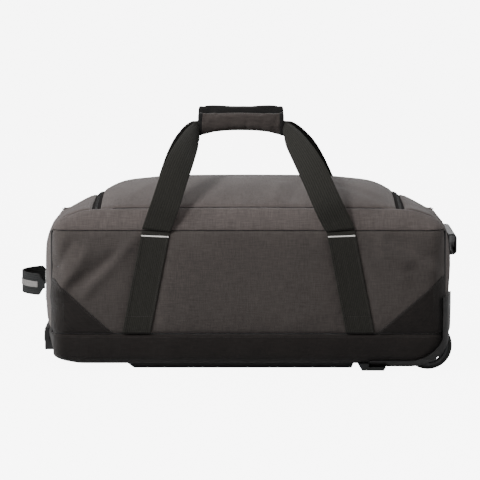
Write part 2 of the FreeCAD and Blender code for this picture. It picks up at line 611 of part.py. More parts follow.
# ---------------------------------------------------------------- underside
def underside():
    x0, x1 = SKID_X
    skid = polygon([V(x0, -SKID_HALF, FLOOR_GAP), V(x0 + SKID_SLOPE, -SKID_HALF, 0), V(x1 - 4, -SKID_HALF, 0),
                    V(x1, -SKID_HALF, FLOOR_GAP)]).extrude(V(0, 2 * SKID_HALF, 0))
    edges = [e for e in skid.Edges if e.CenterOfMass.z < 0.1]
    skid = skid.makeFillet(3.0, edges)
    tray = block(x0 + SKID_SLOPE + SKID_WALL, x1 - 4 - SKID_WALL, -SKID_HALF + SKID_WALL, SKID_HALF - SKID_WALL,
                 2 * SKID_WALL, FLOOR_GAP + 1)
    posts = [cylinder_z(x, y, 2 * SCREW[0], 0, FLOOR_GAP) for x in SADDLE_X for y in (-TUBE_Y, TUBE_Y)]
    skid = skid.cut(tray).fuse(posts).removeSplitter()
    ribs = 4
    step = 2 * SKID_HALF / (ribs + 1)
    for i in range(ribs):
        y = -SKID_HALF + step * (i + 1)
        skid = skid.cut(block(x0 + 40, x1 - 30, y - 4, y + 4, -1, 3))
    screws = []
    head_r, head_t = SCREW
    for x in SADDLE_X:
        for y in (-TUBE_Y, TUBE_Y):
            skid = skid.cut(cylinder_z(x, y, head_r, -1, SCREW_SINK + head_t))
            skid = skid.cut(cylinder_z(x, y, head_r / 2, 0, FLOOR_GAP + 1))
            head = cylinder_z(x, y, head_r, SCREW_SINK, SCREW_SINK + head_t)
            screws.append(head.fuse(cylinder_z(x, y, head_r / 2, SCREW_SINK, FLOOR_GAP)))
    save("skid_cover", skid)
    save("skid_screws", *screws)
    a0, a1 = PAD_X
    b0, b1 = PAD_Y
    t = PAD_TAPER

    def rim(z, grow):
        return Part.makePolygon([V(a0 - grow, -b1 - grow / 2, z), V(a1 + grow, -b1 - grow / 2, z),
                                 V(a1 + grow, -b0 + grow / 2, z), V(a0 - grow, -b0 + grow / 2, z),
                                 V(a0 - grow, -b1 - grow / 2, z)])

    pad = Part.makeLoft([rim(0, 0), rim(FLOOR_GAP, t)], True, True)
    pad = pad.cut(hull_side(-GUARD).common(block(GUARD_FOOT_X - 1, FAR, -FAR, FAR, 0, FAR)))
    save("foot_pads", *both_sides(pad))


def stand_foot():
    """Moulded D-section bar on the wheel end, open at both ends."""
    x1 = BODY_HALF + FOOT_REACH
    x0 = x1 - FOOT_DEEP
    z0, z1 = FOOT_Z
    bar = block(x0, x1, -FOOT_HALF, FOOT_HALF, z0, z1)
    bar = bar.makeFillet(FOOT_R, [e for e in bar.Edges if abs(e.tangentAt(e.FirstParameter).y) > 0.9])
    space = block(x0 + FOOT_WALL, x1 - FOOT_WALL, -FOOT_HALF - 1, FOOT_HALF + 1, z0 + FOOT_WALL, z1 - FOOT_WALL)
    long_edges = [e for e in space.Edges if abs(e.tangentAt(e.FirstParameter).y) > 0.9]
    space = space.makeFillet(FOOT_R - FOOT_WALL, long_edges)
    bar = bar.cut(space.cut(hull(-FOOT_WALL)))
    save("stand_foot", bar.cut(hull(0)))


# ---------------------------------------------------------------- pull handle
def tube_size(stage):
    """Outside width and height of tube 0 (outer), 1 (middle) or 2 (inner)."""
    shrink = 2 * stage * (TUBE_WALL + TUBE_CLEAR)
    return OUTER_TUBE[0] - shrink, OUTER_TUBE[1] - shrink


def tube(stage, x0, x1):
    width, height = tube_size(stage)
    radius = 4.2 - stage * (TUBE_WALL + TUBE_CLEAR)
    outside = rounded_tube(width, height, x0, x1, -TUBE_Y, radius)
    inside = rounded_tube(width - 2 * TUBE_WALL, height - 2 * TUBE_WALL, x0 - 1, x1 + 1, -TUBE_Y,
                          max(radius - TUBE_WALL, 0.5))
    return outside.cut(inside)


def tube_plug(stage, grow, x0, x1):
    """Solid of a tube's outside, grown by grow, for the holes that it fits."""
    width, height = tube_size(stage)
    radius = 4.2 - stage * (TUBE_WALL + TUBE_CLEAR) + grow
    return rounded_tube(width + 2 * grow, height + 2 * grow, x0, x1, -TUBE_Y, radius)


def fixed_trolley_parts():
    half_w = CUP[0] / 2
    z0 = TUBE_Z - CUP[1] / 2
    z1 = TUBE_Z + CUP[1] / 2
    face = -BODY_HALF
    tube_hole = tube_plug(1, TUBE_CLEAR, -FAR, 0)
    cup = block(face, TUBE_LEFT, -half_w - CUP_WALL, half_w + CUP_WALL, z0 - CUP_WALL, z1 + CUP_WALL)
    lip = block(face - BEZEL_LIP, face + 30, -half_w - 2 * CUP_WALL, half_w + 2 * CUP_WALL,
                z0 - CUP_WALL, z1 + CUP_WALL)
    lip_edges = [e for e in lip.Edges if e.CenterOfMass.x < face - BEZEL_LIP + 0.1]
    lip = lip.makeFillet(1.8, lip_edges).cut(hull(0))
    space = block(face - 20, TUBE_LEFT - CUP_WALL, -half_w, half_w, z0, z1)
    bezel = cup.fuse(lip).cut(space)
    for hole in both_sides(tube_hole):
        bezel = bezel.cut(hole)
    save("trolley_bezel", bezel.removeSplitter())
    outer = tube(0, TUBE_LEFT, TUBE_RIGHT)
    save("trolley_outer_tubes", *both_sides(outer))
    width, height = OUTER_TUBE
    reach = TUBE_Y + width / 2 + 4
    bracket = block(TUBE_RIGHT - BRACKET, TUBE_RIGHT + 4, -reach, reach, FLOOR_GAP + WALL, TUBE_Z + height / 2)
    pocket = tube_plug(0, 0, TUBE_RIGHT - BRACKET - 1, TUBE_RIGHT)
    for hole in both_sides(pocket):
        bracket = bracket.cut(hole)
    middle = block(TUBE_RIGHT - BRACKET - 1, TUBE_RIGHT, -TUBE_Y + 20, TUBE_Y - 20, FLOOR_GAP + WALL + 3,
                   TUBE_Z + height / 2 + 1)
    save("trolley_end_bracket", bracket.cut(middle))
    saddles = []
    for x in SADDLE_X:
        saddle = block(x - SADDLE_LENGTH / 2, x + SADDLE_LENGTH / 2, -TUBE_Y - width / 2 - 3, -TUBE_Y + width / 2 + 3,
                       FLOOR_GAP + WALL, TUBE_Z)
        saddles += both_sides(saddle.cut(tube_plug(0, 0, -FAR, FAR)))
    save("tube_saddles", *saddles)


def moving_trolley_parts():
    front = -BODY_HALF - GRIP_PROUD
    back = front + GRIP_BAR[0]
    right = TUBE_RIGHT
    collar_x = TUBE_LEFT - CUP_WALL - RUN_CLEAR
    middle_left = collar_x - COLLAR
    middle = tube(1, middle_left + 1, right - STAGE_STEP)
    inner_left = back - TUBE_IN_GRIP
    inner = tube(2, inner_left, right - 2 * STAGE_STEP)
    collar = tube_plug(1, 2.0, middle_left, collar_x).cut(tube_plug(1, 0, middle_left + 1, FAR))
    collar = collar.cut(tube_plug(2, TUBE_CLEAR, -FAR, FAR))
    save("trolley_middle_tubes", *both_sides(middle))
    save("middle_tube_collars", *both_sides(collar))
    pin_x = right - 2 * STAGE_STEP - 12
    wide = tube_size(2)[0]
    wall_y = -TUBE_Y - wide / 2
    pin_hole = cylinder_y(pin_x, TUBE_Z, PIN_R + BORE_CLEAR, wall_y - 1, wall_y + TUBE_WALL + 0.5)
    inner = inner.cut(pin_hole)
    pin = cylinder_y(pin_x, TUBE_Z, PIN_R, wall_y + 0.1, wall_y + 0.1 + PIN_LENGTH)
    save("trolley_inner_tubes", *both_sides(inner))
    save("lock_pin_near", pin)
    save("lock_pin_far", mirror_y(pin))
    save_grip(front, back, inner_left, pin_x)


def save_grip(front, back, inner_left, pin_x):
    wide, tall = GRIP_BAR[1], GRIP_BAR[2]
    bar = block(front, back, -wide / 2, wide / 2, TUBE_Z - tall / 2, TUBE_Z + tall / 2)
    bar = bar.makeFillet(6.0, bar.Edges)
    hollow = block(front + GRIP_WALL, back - GRIP_WALL, -wide / 2 + GRIP_WALL, wide / 2 - GRIP_WALL,
                   TUBE_Z - tall / 2 + GRIP_WALL, TUBE_Z + tall / 2 - GRIP_WALL)
    hollow = hollow.makeFillet(3.5, hollow.Edges)
    shell = bar.cut(hollow)
    for plug in both_sides(tube_plug(2, 0, inner_left, FAR)):
        shell = shell.cut(plug)
    deep, long, high = BUTTON
    window = block(front - 5, front + GRIP_WALL + 3, -long / 2 - RUN_CLEAR, long / 2 + RUN_CLEAR,
                   TUBE_Z - high / 2 - RUN_CLEAR, TUBE_Z + high / 2 + RUN_CLEAR)
    shell = shell.cut(window)
    save("grip_base", shell.common(block(-FAR, FAR, -FAR, FAR, 0, TUBE_Z)))
    save("grip_cover", shell.common(block(-FAR, FAR, -FAR, FAR, TUBE_Z, FAR)))
    button_x = front - BUTTON_PROUD
    button = block(button_x, button_x + deep, -long / 2, long / 2, TUBE_Z - high / 2, TUBE_Z + high / 2)
    button = button.makeFillet(1.5, [e for e in button.Edges if e.CenterOfMass.x < button_x + 0.1])
    bar_x = button_x + deep
    rod_w, rod_h = ROD
    yoke = block(bar_x, bar_x + rod_w, -TUBE_Y - rod_w / 2, TUBE_Y + rod_w / 2,
                 TUBE_Z - rod_h / 2, TUBE_Z + rod_h / 2)
    rod = block(bar_x, pin_x - PIN_R - 6, -TUBE_Y - rod_w / 2, -TUBE_Y + rod_w / 2, TUBE_Z - rod_h / 2,
                TUBE_Z + rod_h / 2)
    save("grip_button", button)
    save("button_yoke", yoke.fuse(both_sides(rod)).removeSplitter())
    coil_r, wire_r, turns = SPRING
    spring_x0 = bar_x + rod_w + BUTTON_TRAVEL + 0.2 + wire_r
    spring_x1 = back - GRIP_WALL - wire_r
    springs = []
    for y in (-30.0, 30.0):
        path = Part.makeHelix((spring_x1 - spring_x0) / turns, spring_x1 - spring_x0, coil_r)
        ring = Part.Wire(Part.makeCircle(wire_r, V(coil_r, 0, 0), V(0, 1, 0)))
        coil = Part.Wire(path).makePipeShell([ring], True, True)
        coil.rotate(V(0, 0, 0), V(0, 1, 0), 90)
        coil.translate(V(spring_x0, y, TUBE_Z))
        springs.append(coil)
    save("button_springs", *springs)


os.makedirs("parts", exist_ok=True)
soft_body()
carry_handles()
end_handle()
zip_sliders()
wheels()
wheel_housing()
underside()
stand_foot()
fixed_trolley_parts()
moving_trolley_parts()
print("MID_X", MID_X, "left", MID_X - LEFT_REACH, "right", MID_X + RIGHT_REACH)
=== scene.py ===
import json
import math

import bmesh
import bpy
import numpy as np
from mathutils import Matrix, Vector

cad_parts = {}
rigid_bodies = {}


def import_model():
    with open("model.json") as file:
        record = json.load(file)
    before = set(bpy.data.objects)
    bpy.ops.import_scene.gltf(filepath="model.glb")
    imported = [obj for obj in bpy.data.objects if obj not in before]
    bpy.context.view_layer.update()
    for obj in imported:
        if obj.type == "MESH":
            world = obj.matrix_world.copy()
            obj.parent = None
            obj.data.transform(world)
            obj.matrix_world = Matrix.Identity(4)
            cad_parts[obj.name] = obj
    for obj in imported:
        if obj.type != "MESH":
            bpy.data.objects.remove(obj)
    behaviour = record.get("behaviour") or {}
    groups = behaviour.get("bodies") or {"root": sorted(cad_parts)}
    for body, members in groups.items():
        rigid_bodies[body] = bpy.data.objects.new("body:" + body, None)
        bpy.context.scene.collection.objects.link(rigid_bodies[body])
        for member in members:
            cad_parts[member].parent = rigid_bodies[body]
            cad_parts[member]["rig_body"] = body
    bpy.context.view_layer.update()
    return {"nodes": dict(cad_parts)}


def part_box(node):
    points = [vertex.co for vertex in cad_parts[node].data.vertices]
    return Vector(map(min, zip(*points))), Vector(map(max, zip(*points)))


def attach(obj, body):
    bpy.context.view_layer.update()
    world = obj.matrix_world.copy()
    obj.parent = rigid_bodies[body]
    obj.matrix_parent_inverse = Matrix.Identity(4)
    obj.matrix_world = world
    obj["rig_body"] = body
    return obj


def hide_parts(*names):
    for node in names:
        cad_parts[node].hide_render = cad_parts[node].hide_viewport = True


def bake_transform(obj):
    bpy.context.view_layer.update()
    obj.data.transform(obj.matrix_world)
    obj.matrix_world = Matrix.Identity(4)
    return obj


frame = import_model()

# Rolling duffel bag: soft shell, webbing, zip and finishes around its fixed frame.
# Metres, +Z up, +X towards the wheels, -Y towards the front panel.

# ---------------------------------------------------------------- sizes from the frame
panel_low, panel_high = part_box("front_panel")
end_low, end_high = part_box("end_panel_left")
lid_low, lid_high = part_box("lid_panel")
MID_X = (panel_low.x + panel_high.x) / 2
DEPTH_HALF = -panel_low.y
BAND_TOP = panel_low.z
PANEL_TOP = panel_high.z
END_TOP = end_high.z
SEAM_Y = end_high.y
FLOOR_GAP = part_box("bottom_panel")[0].z
SEAM_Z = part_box("upper_panel_front")[1].z
BODY_HALF = MID_X - end_low.x
LID_HALF = (lid_high.x - lid_low.x) / 2
LID_FAR = lid_high.y
ZIP_HALF = LID_HALF + (SEAM_Y - LID_FAR)
CORNER_LINE = BODY_HALF - 0.015
CORNER_R = DEPTH_HALF - SEAM_Y
GRIP_LOW, GRIP_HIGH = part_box("handle_grip_front")
LOOP_LOW, LOOP_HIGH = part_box("end_handle_loop")
ANCHOR_LOW, ANCHOR_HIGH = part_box("end_handle_anchors")
BEZEL_LOW, BEZEL_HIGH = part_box("trolley_bezel")
GUARD_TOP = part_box("wheel_housing_near")[1].z
WHEEL_LOW, WHEEL_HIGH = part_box("wheel_tyre_near")
WEB_WIDTH = 0.047
WEB_THICK = 0.0022
SHELL = 0.0026
LINING = 0.0007
CELL = 0.005                # spacing of a panel's points
STRAP_Y = DEPTH_HALF + WEB_THICK + 0.0004
FACES = (("front", -1), ("back", 1))
SIDES = (("left", -1), ("right", 1))


def smooth_line(*points):
    """Function through the points that never overshoots between them."""
    xs, ys = np.array(points, float).T
    step = np.diff(xs)
    slope = np.diff(ys) / step
    total = slope[:-1] + slope[1:]
    same_way = slope[:-1] * slope[1:] > 0
    inner = np.where(same_way, 2 * slope[:-1] * slope[1:] / np.where(same_way, total, 1), 0)
    tangent = np.concatenate(([slope[0]], inner, [slope[-1]]))

    def value(x):
        x = np.clip(np.asarray(x, float), xs[0], xs[-1])
        i = np.clip(np.searchsorted(xs, x) - 1, 0, len(step) - 1)
        t = (x - xs[i]) / step[i]
        a, b = ys[i], ys[i + 1]
        rise = t * t * (3 - 2 * t)
        lean = step[i] * (tangent[i] * t * (1 - t) ** 2 - tangent[i + 1] * t * t * (1 - t))
        return a + (b - a) * rise + lean
    return value


# ---------------------------------------------------------------- body outlines
TOP_END = 0.3265            # the top's middle line reaches the end panel here
TOP_MIDDLE = smooth_line((0, 0.304), (0.090, 0.3035), (0.141, 0.302), (0.167, 0.2995), (0.209, 0.295),
                         (0.235, 0.2865), (0.260, 0.275), (0.286, 0.259), (0.309, 0.247), (TOP_END, END_TOP))
TOP_SEAM = smooth_line((0, SEAM_Z), (0.235, 0.270), (0.267, 0.268), (0.296, 0.259), (0.310, 0.252),
                       (CORNER_LINE, END_TOP))
FAR_SLUMP = smooth_line((0.200, 0), (0.235, 0.004), (0.260, 0.014), (0.286, 0.021), (0.302, 0.022),
                        (0.314, 0.013), (CORNER_LINE, 0))
DEPTH = smooth_line((FLOOR_GAP, 0.146), (FLOOR_GAP + 0.005, 0.154), (0.026, 0.161), (BAND_TOP, DEPTH_HALF),
                    (PANEL_TOP, DEPTH_HALF))
WIDEST_Z = 0.160            # the right end stands out to its full reach here
UPPER_END = smooth_line((WIDEST_Z, BODY_HALF), (0.204, BODY_HALF), (0.225, 0.333), (END_TOP, TOP_END))
RIGHT_FOOT = 0.331
RIGHT_RISE = smooth_line((0.080, RIGHT_FOOT), (WIDEST_Z, BODY_HALF))
LEFT_CORNER_R = 0.046
RIGHT_CORNER_R = 0.068


def end_reach(z, side):
    """Distance of an end's outside from the middle of the body; side is -1 left, 1 right."""
    z = np.asarray(z, float)
    radius = np.where(side < 0, LEFT_CORNER_R, RIGHT_CORNER_R)
    foot = np.where(side < 0, BODY_HALF, RIGHT_FOOT)
    drop = np.clip(FLOOR_GAP + radius - z, 0, radius)
    low = foot - radius + np.sqrt(radius ** 2 - drop ** 2)
    rise = np.where(side < 0, BODY_HALF, RIGHT_RISE(z))
    high = np.where(z > WIDEST_Z, UPPER_END(z), rise)
    return np.where(drop > 0, low, high)


def corner_line(z, side):
    return np.minimum(CORNER_LINE, end_reach(z, side))


def around_front(s, z, face=-1):
    """Front (face -1) or back (1): s runs -2..-1 round the left corner, -1..1 across, and on to 2."""
    side = np.where(s < 0, -1, 1)
    turn = np.clip(np.abs(s) - 1, 0, 1) * math.pi / 2
    x = side * (np.clip(np.abs(s), 0, 1) * (corner_line(z, side) - CORNER_R) + CORNER_R * np.sin(turn))
    y = face * (DEPTH(z) - CORNER_R + CORNER_R * np.cos(turn))
    return x, y, z + 0 * x


def across_end(t, z, side):
    """End panel: t runs -1..1 from the front corner to the back one."""
    edge = corner_line(z, side)
    bow = np.maximum(end_reach(z, side) - edge, 0)
    return side * (edge + bow * (1 - t ** 2)), t * (DEPTH(z) - CORNER_R), z + 0 * t


def slump(x, y):
    """How far the empty far side of the top sinks near the ends."""
    share = np.clip(y / SEAM_Y, 0, 1)
    return FAR_SLUMP(np.abs(x)) * (0.75 * share + 0.25 * share ** 2)


def roof(x, y):
    """Top of the bag inside the long seams."""
    middle, seam = TOP_MIDDLE(np.abs(x)), TOP_SEAM(np.abs(x))
    return middle - (middle - seam) * (y / SEAM_Y) ** 2 - slump(x, y)


def over_shoulder(s, t, face=-1):
    """Sloping upper panel, t 0 at the panel seam to 1 at the long seam."""
    x0, y0, z0 = around_front(s, np.full_like(s, PANEL_TOP), face)
    z1 = TOP_SEAM(np.abs(x0)) - slump(x0, face * SEAM_Y + 0 * x0)
    y1 = face * SEAM_Y
    return x0, y0 + (y1 - y0) * t, z0 + (z1 - z0) * t


def over_border(t, y, side):
    """Top border, t 0 at the zip to 1 at the end panel's seam."""
    last = corner_line(END_TOP, side) + (end_reach(END_TOP, side) - CORNER_LINE) * (1 - (y / SEAM_Y) ** 2)
    x = ZIP_HALF + (last - ZIP_HALF) * t
    shown = ZIP_HALF + (TOP_END - ZIP_HALF) * t
    seam = ZIP_HALF + (CORNER_LINE - ZIP_HALF) * t
    z = TOP_MIDDLE(shown) - (TOP_MIDDLE(shown) - TOP_SEAM(seam)) * (y / SEAM_Y) ** 2 - slump(seam, y)
    return side * x, y, z


# ---------------------------------------------------------------- mesh helpers
def span(start, end, step=CELL):
    """Evenly spaced values from start to end."""
    count = max(int(round(abs(end - start) / step)), 1)
    return np.unique(np.linspace(start, end, count + 1))


def edge_rows(start, end, step=CELL):
    """Spaced values that crowd together at both ends, where the seams turn in."""
    inner = span(start + 0.004, end - 0.004, step)
    return np.concatenate(([start, start + 0.0014], inner, [end - 0.0014, end]))


def grid_normals(points):
    along = np.gradient(points, axis=1)
    up = np.gradient(points, axis=0)
    normal = np.cross(along, up)
    size = np.linalg.norm(normal, axis=2, keepdims=True)
    return normal / np.maximum(size, 1e-12)


def link(name, mesh):
    obj = bpy.data.objects.new(name, mesh)
    bpy.context.scene.collection.objects.link(obj)
    return obj


def grid_faces(rows, columns, around=False):
    faces = []
    wrap = columns if around else columns - 1
    for r in range(rows - 1):
        for c in range(wrap):
            d = (c + 1) % columns
            faces.append((r * columns + c, r * columns + d, (r + 1) * columns + d, (r + 1) * columns + c))
    return faces


def plain_mesh(name, points, faces):
    mesh = bpy.data.meshes.new(name)
    mesh.from_pydata([tuple(p) for p in points], [], faces)
    mesh.update()
    mesh.polygons.foreach_set("use_smooth", [True] * len(mesh.polygons))
    return mesh


def lay_uv(mesh, coordinates):
    """One UV map, in metres of cloth."""
    layer = mesh.uv_layers.new(name="cloth")
    corners = np.zeros(len(mesh.loops), int)
    mesh.loops.foreach_get("vertex_index", corners)
    layer.data.foreach_set("uv", np.asarray(coordinates, float)[corners].ravel())


def run_length(points, axis):
    step = np.linalg.norm(np.diff(points, axis=axis), axis=2)
    middle = step.mean(axis=1 - axis)
    return np.concatenate(([0], np.cumsum(middle)))


def applied(obj):
    """The object with its modifiers turned into plain mesh."""
    view = bpy.context.evaluated_depsgraph_get()
    mesh = bpy.data.meshes.new_from_object(obj.evaluated_get(view))
    name = obj.name
    old = obj.data
    obj.modifiers.clear()
    obj.data = mesh
    bpy.data.meshes.remove(old)
    mesh.name = name
    return obj


def cloth_run(obj, held, frames, gravity=1.0, **settings):
    """Points of the object after a short cloth simulation in which the held ones stay put."""
    group = obj.vertex_groups.new(name="held")
    group.add([int(i) for i in held], 1.0, "REPLACE")
    cloth = obj.modifiers.new("cloth", "CLOTH")
    cloth.settings.vertex_group_mass = "held"
    cloth.settings.effector_weights.gravity = gravity
    for key, value in settings.items():
        setattr(cloth.settings, key, value)
    cloth.point_cache.frame_start = 1
    cloth.point_cache.frame_end = frames
    scene = bpy.context.scene
    for number in range(1, frames + 1):
        scene.frame_set(number)
    view = bpy.context.evaluated_depsgraph_get()
    shown = obj.evaluated_get(view).data.vertices
    found = np.zeros(len(shown) * 3)
    shown.foreach_get("co", found)
    scene.frame_set(1)
    return found.reshape(-1, 3)


def limited(move, limit):
    """Moves eased off so that none is longer than the limit."""
    size = np.linalg.norm(move, axis=-1, keepdims=True)
    return move * np.where(size > 1e-9, limit * np.tanh(size / limit) / np.maximum(size, 1e-9), 1)


def settle(points, outward, held, load=9.0, growth=0.004, limit=0.006, frames=18):
    """Panel pressed outwards by its contents, with its held points at their seams."""
    rows, columns, _ = points.shape
    mesh = plain_mesh("settling", points.reshape(-1, 3), grid_faces(rows, columns))
    obj = link("settling", mesh)
    scene = bpy.context.scene
    usual = tuple(scene.gravity)
    scene.gravity = tuple(load * c for c in outward)
    found = cloth_run(obj, np.flatnonzero(held.ravel()), frames, quality=5, mass=0.25, tension_stiffness=20,
                      compression_stiffness=12, shear_stiffness=8, bending_stiffness=1.5, air_damping=2,
                      shrink_min=-growth)
    scene.gravity = usual
    bpy.data.objects.remove(obj)
    bpy.data.meshes.remove(mesh)
    return points + limited(found.reshape(points.shape) - points, limit)


class Panel:
    """A sewn panel: its grid of points, kept so that straps, patches and stitches can lie on it."""

    def __init__(self, columns, rows, place, flip=False):
        self.columns, self.rows = columns, rows
        s, t = np.meshgrid(columns, rows)
        points = np.stack([np.asarray(c, float) + 0 * s for c in place(s, t)], axis=2)
        points[..., 0] += MID_X
        self.points = points
        self.flip = flip
        self.s, self.t = s, t

    def normals(self):
        return grid_normals(self.points) * (-1 if self.flip else 1)

    def push(self, amount):
        """Move every point along its outward normal."""
        self.points = self.points + self.normals() * np.asarray(amount)[..., None]

    def from_edge(self, edges="lrbt"):
        """Distance of every point from the nearest named edge: left, right, bottom, top."""
        along = run_length(self.points, 1)[None, :]
        up = run_length(self.points, 0)[:, None]
        ways = {"l": along + 0 * up, "r": along[:, -1:] - along + 0 * up,
                "b": up + 0 * along, "t": up[-1:, :] - up + 0 * along}
        return np.min([ways[e] for e in edges], axis=0)

    def tuck(self, edges="lrbt", depth=0.0022, reach=0.0024):
        self.push(-depth * np.exp(-(self.from_edge(edges) / reach) ** 1.5))

    def puff(self, height, edges="lrbt", shoulder=0.03):
        away = self.from_edge(edges)
        self.push(height * (1 - np.exp(-away / shoulder)))

    def relax(self, outward, extra_held=None, **how):
        held = np.zeros(self.s.shape, bool)
        held[0], held[-1], held[:, 0], held[:, -1] = True, True, True, True
        if extra_held is not None:
            held |= extra_held
        self.points = settle(self.points, outward, held, **how)

    def at(self, s, t, lift=0.0):
        """Points and outward normals of the panel at columns s and rows t, raised by lift."""
        s, t = np.asarray(s, float), np.asarray(t, float)
        i = np.clip(np.searchsorted(self.columns, s) - 1, 0, len(self.columns) - 2)
        j = np.clip(np.searchsorted(self.rows, t) - 1, 0, len(self.rows) - 2)
        a = ((s - self.columns[i]) / (self.columns[i + 1] - self.columns[i]))[..., None]
        b = ((t - self.rows[j]) / (self.rows[j + 1] - self.rows[j]))[..., None]
        normal = self.normals()

        def mix(field):
            low = field[j, i] * (1 - a) + field[j, i + 1] * a
            high = field[j + 1, i] * (1 - a) + field[j + 1, i + 1] * a
            return low * (1 - b) + high * b
        found = mix(normal)
        found = found / np.linalg.norm(found, axis=-1, keepdims=True)
        return mix(self.points) + found * lift, found

    def make(self, name, finish, body, nodes, slot, cut=None, thick=SHELL, smooth=1, fill=None, offset=-1):
        """Turn the grid into cloth or webbing; its wall grows inwards, or both ways at offset 0."""
        rows, columns, _ = self.points.shape
        faces = grid_faces(rows, columns)
        if cut is not None:
            middle = (self.points[:-1, :-1] + self.points[1:, 1:]) / 2
            keep = ~cut(middle.reshape(-1, 3))
            faces = [f for f, k in zip(faces, keep) if k]
        if self.flip:
            faces = [f[::-1] for f in faces]
        mesh = plain_mesh(name, self.points.reshape(-1, 3), faces)
        u, v = np.meshgrid(run_length(self.points, 1), run_length(self.points, 0))
        lay_uv(mesh, np.stack([u.ravel(), v.ravel()], axis=1))
        drop_loose(mesh)
        mesh.materials.append(finish)
        obj = link(name, mesh)
        if smooth:
            finer = obj.modifiers.new("finer", "SUBSURF")
            finer.levels = finer.render_levels = smooth
            finer.boundary_smooth = "PRESERVE_CORNERS"
        wall = obj.modifiers.new("wall", "SOLIDIFY")
        wall.thickness = thick
        wall.offset = offset
        wall.use_even_offset = False
        return settled_piece(obj, body, nodes)


def edited(mesh, change):
    """Change a mesh by a function of its bmesh."""
    shape = bmesh.new()
    shape.from_mesh(mesh)
    change(shape)
    shape.to_mesh(mesh)
    shape.free()


def drop_loose(mesh):
    """Remove points that no face uses."""
    def change(shape):
        loose = [v for v in shape.verts if not v.link_faces]
        bmesh.ops.delete(shape, geom=loose, context="VERTS")
    edited(mesh, change)


def outwards(mesh):
    edited(mesh, lambda shape: bmesh.ops.recalc_face_normals(shape, faces=shape.faces))


def settled_piece(obj, body, nodes=()):
    """Tell the frame what the piece is: its body and the nodes it stands for, which it hides."""
    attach(obj, body)
    if nodes:
        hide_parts(*nodes)
    return obj


# ---------------------------------------------------------------- finishes
def shades(tree, kind, **inputs):
    """Add a shader node and fill in its inputs: a value, or another node's socket."""
    node = tree.nodes.new(kind)
    for label, value in inputs.items():
        if label.startswith("set_"):
            setattr(node, label[4:], value)
            continue
        key = int(label[3:]) if label.startswith("in_") else label.replace("_", " ")
        socket = node.inputs[key]
        if isinstance(value, bpy.types.NodeSocket):
            tree.links.new(value, socket)
        else:
            socket.default_value = value
    return node


def colour(red, green, blue):
    """Linear colour from the familiar 0-255 one."""
    def linear(c):
        c = c / 255
        return c / 12.92 if c <= 0.04045 else ((c + 0.055) / 1.055) ** 2.4
    return (linear(red), linear(green), linear(blue), 1.0)


def blank(name, roughness=0.6, metallic=0.0, sheen=0.0, gloss=0.5):
    """Empty finish: its tree, its shader and its material."""
    material = bpy.data.materials.new(name)
    material.use_nodes = True
    tree = material.node_tree
    shader = tree.nodes["Principled BSDF"]
    shader.inputs["Roughness"].default_value = roughness
    shader.inputs["Metallic"].default_value = metallic
    shader.inputs["Specular IOR Level"].default_value = gloss
    if sheen:
        shader.inputs["Sheen Weight"].default_value = sheen
        shader.inputs["Sheen Roughness"].default_value = 0.5
    return material, tree, shader


def math_node(tree, operation, a, b=0.0):
    return shades(tree, "ShaderNodeMath", set_operation=operation, in_0=a, in_1=b).outputs[0]


def times(tree, a, b):
    return math_node(tree, "MULTIPLY", a, b)


def plus(tree, a, b):
    return math_node(tree, "ADD", a, b)


def wave(tree, value, length):
    """Sine that repeats every given length."""
    return math_node(tree, "SINE", times(tree, value, 2 * math.pi / length))


def noise(tree, place, scale, detail):
    node = shades(tree, "ShaderNodeTexNoise", Vector=place, Scale=scale, Detail=detail, Roughness=0.55)
    return node.outputs[0]


def mixed(tree, share, a, b):
    """Colour between a and b by a share from 0 to 1."""
    node = tree.nodes.new("ShaderNodeMix")
    node.data_type = "RGBA"
    for socket, value in ((node.inputs[0], share), (node.inputs[6], a), (node.inputs[7], b)):
        if isinstance(value, bpy.types.NodeSocket):
            tree.links.new(value, socket)
        else:
            socket.default_value = value
    return node.outputs[2]


def ramp(tree, value, low, high):
    """Value stretched so that low becomes 0 and high becomes 1."""
    return shades(tree, "ShaderNodeMapRange", Value=value, From_Min=low, From_Max=high).outputs[0]


def stretched(tree, place, x, y, z=1.0):
    node = shades(tree, "ShaderNodeVectorMath", set_operation="MULTIPLY", in_0=place, in_1=(x, y, z))
    return node.outputs[0]


def bumped(tree, shader, height, distance):
    bump = shades(tree, "ShaderNodeBump", Height=height, Distance=distance, Strength=1.0)
    tree.links.new(bump.outputs[0], shader.inputs["Normal"])


def woven(name, light, dark, thread=0.0009, heather=0.5, roughness=0.85, sheen=0.15, on="UV", rib=None,
          relief=0.00022):
    """Woven cloth: crossing threads, flecks along both thread ways, and broad soft shading."""
    material, tree, shader = blank(name, roughness, sheen=sheen, gloss=0.12)
    place = shades(tree, "ShaderNodeTexCoord").outputs[on]
    x, y, z = shades(tree, "ShaderNodeSeparateXYZ", Vector=place).outputs
    along = wave(tree, y, thread)
    if on == "Object":
        along = plus(tree, along, wave(tree, z, thread))
    weave = ramp(tree, times(tree, wave(tree, x, thread), along), -1.6, 1.6)
    warp = noise(tree, stretched(tree, place, 1.0, 0.09, 1.0), 620.0, 2.0)
    weft = noise(tree, stretched(tree, place, 0.09, 1.0, 0.5), 560.0, 2.0)
    fleck = ramp(tree, plus(tree, warp, weft), 0.72, 1.28)
    broad = ramp(tree, noise(tree, place, 9.0, 4.0), 0.3, 0.75)
    share = plus(tree, times(tree, fleck, heather), times(tree, weave, 1 - heather))
    share = plus(tree, times(tree, share, 0.8), times(tree, broad, 0.2))
    tree.links.new(mixed(tree, share, colour(*dark), colour(*light)), shader.inputs["Base Color"])
    height = plus(tree, weave, times(tree, fleck, 0.6))
    if rib:
        height = plus(tree, times(tree, height, 0.4), ramp(tree, wave(tree, y, rib), -1, 1))
    bumped(tree, shader, height, relief)
    return material


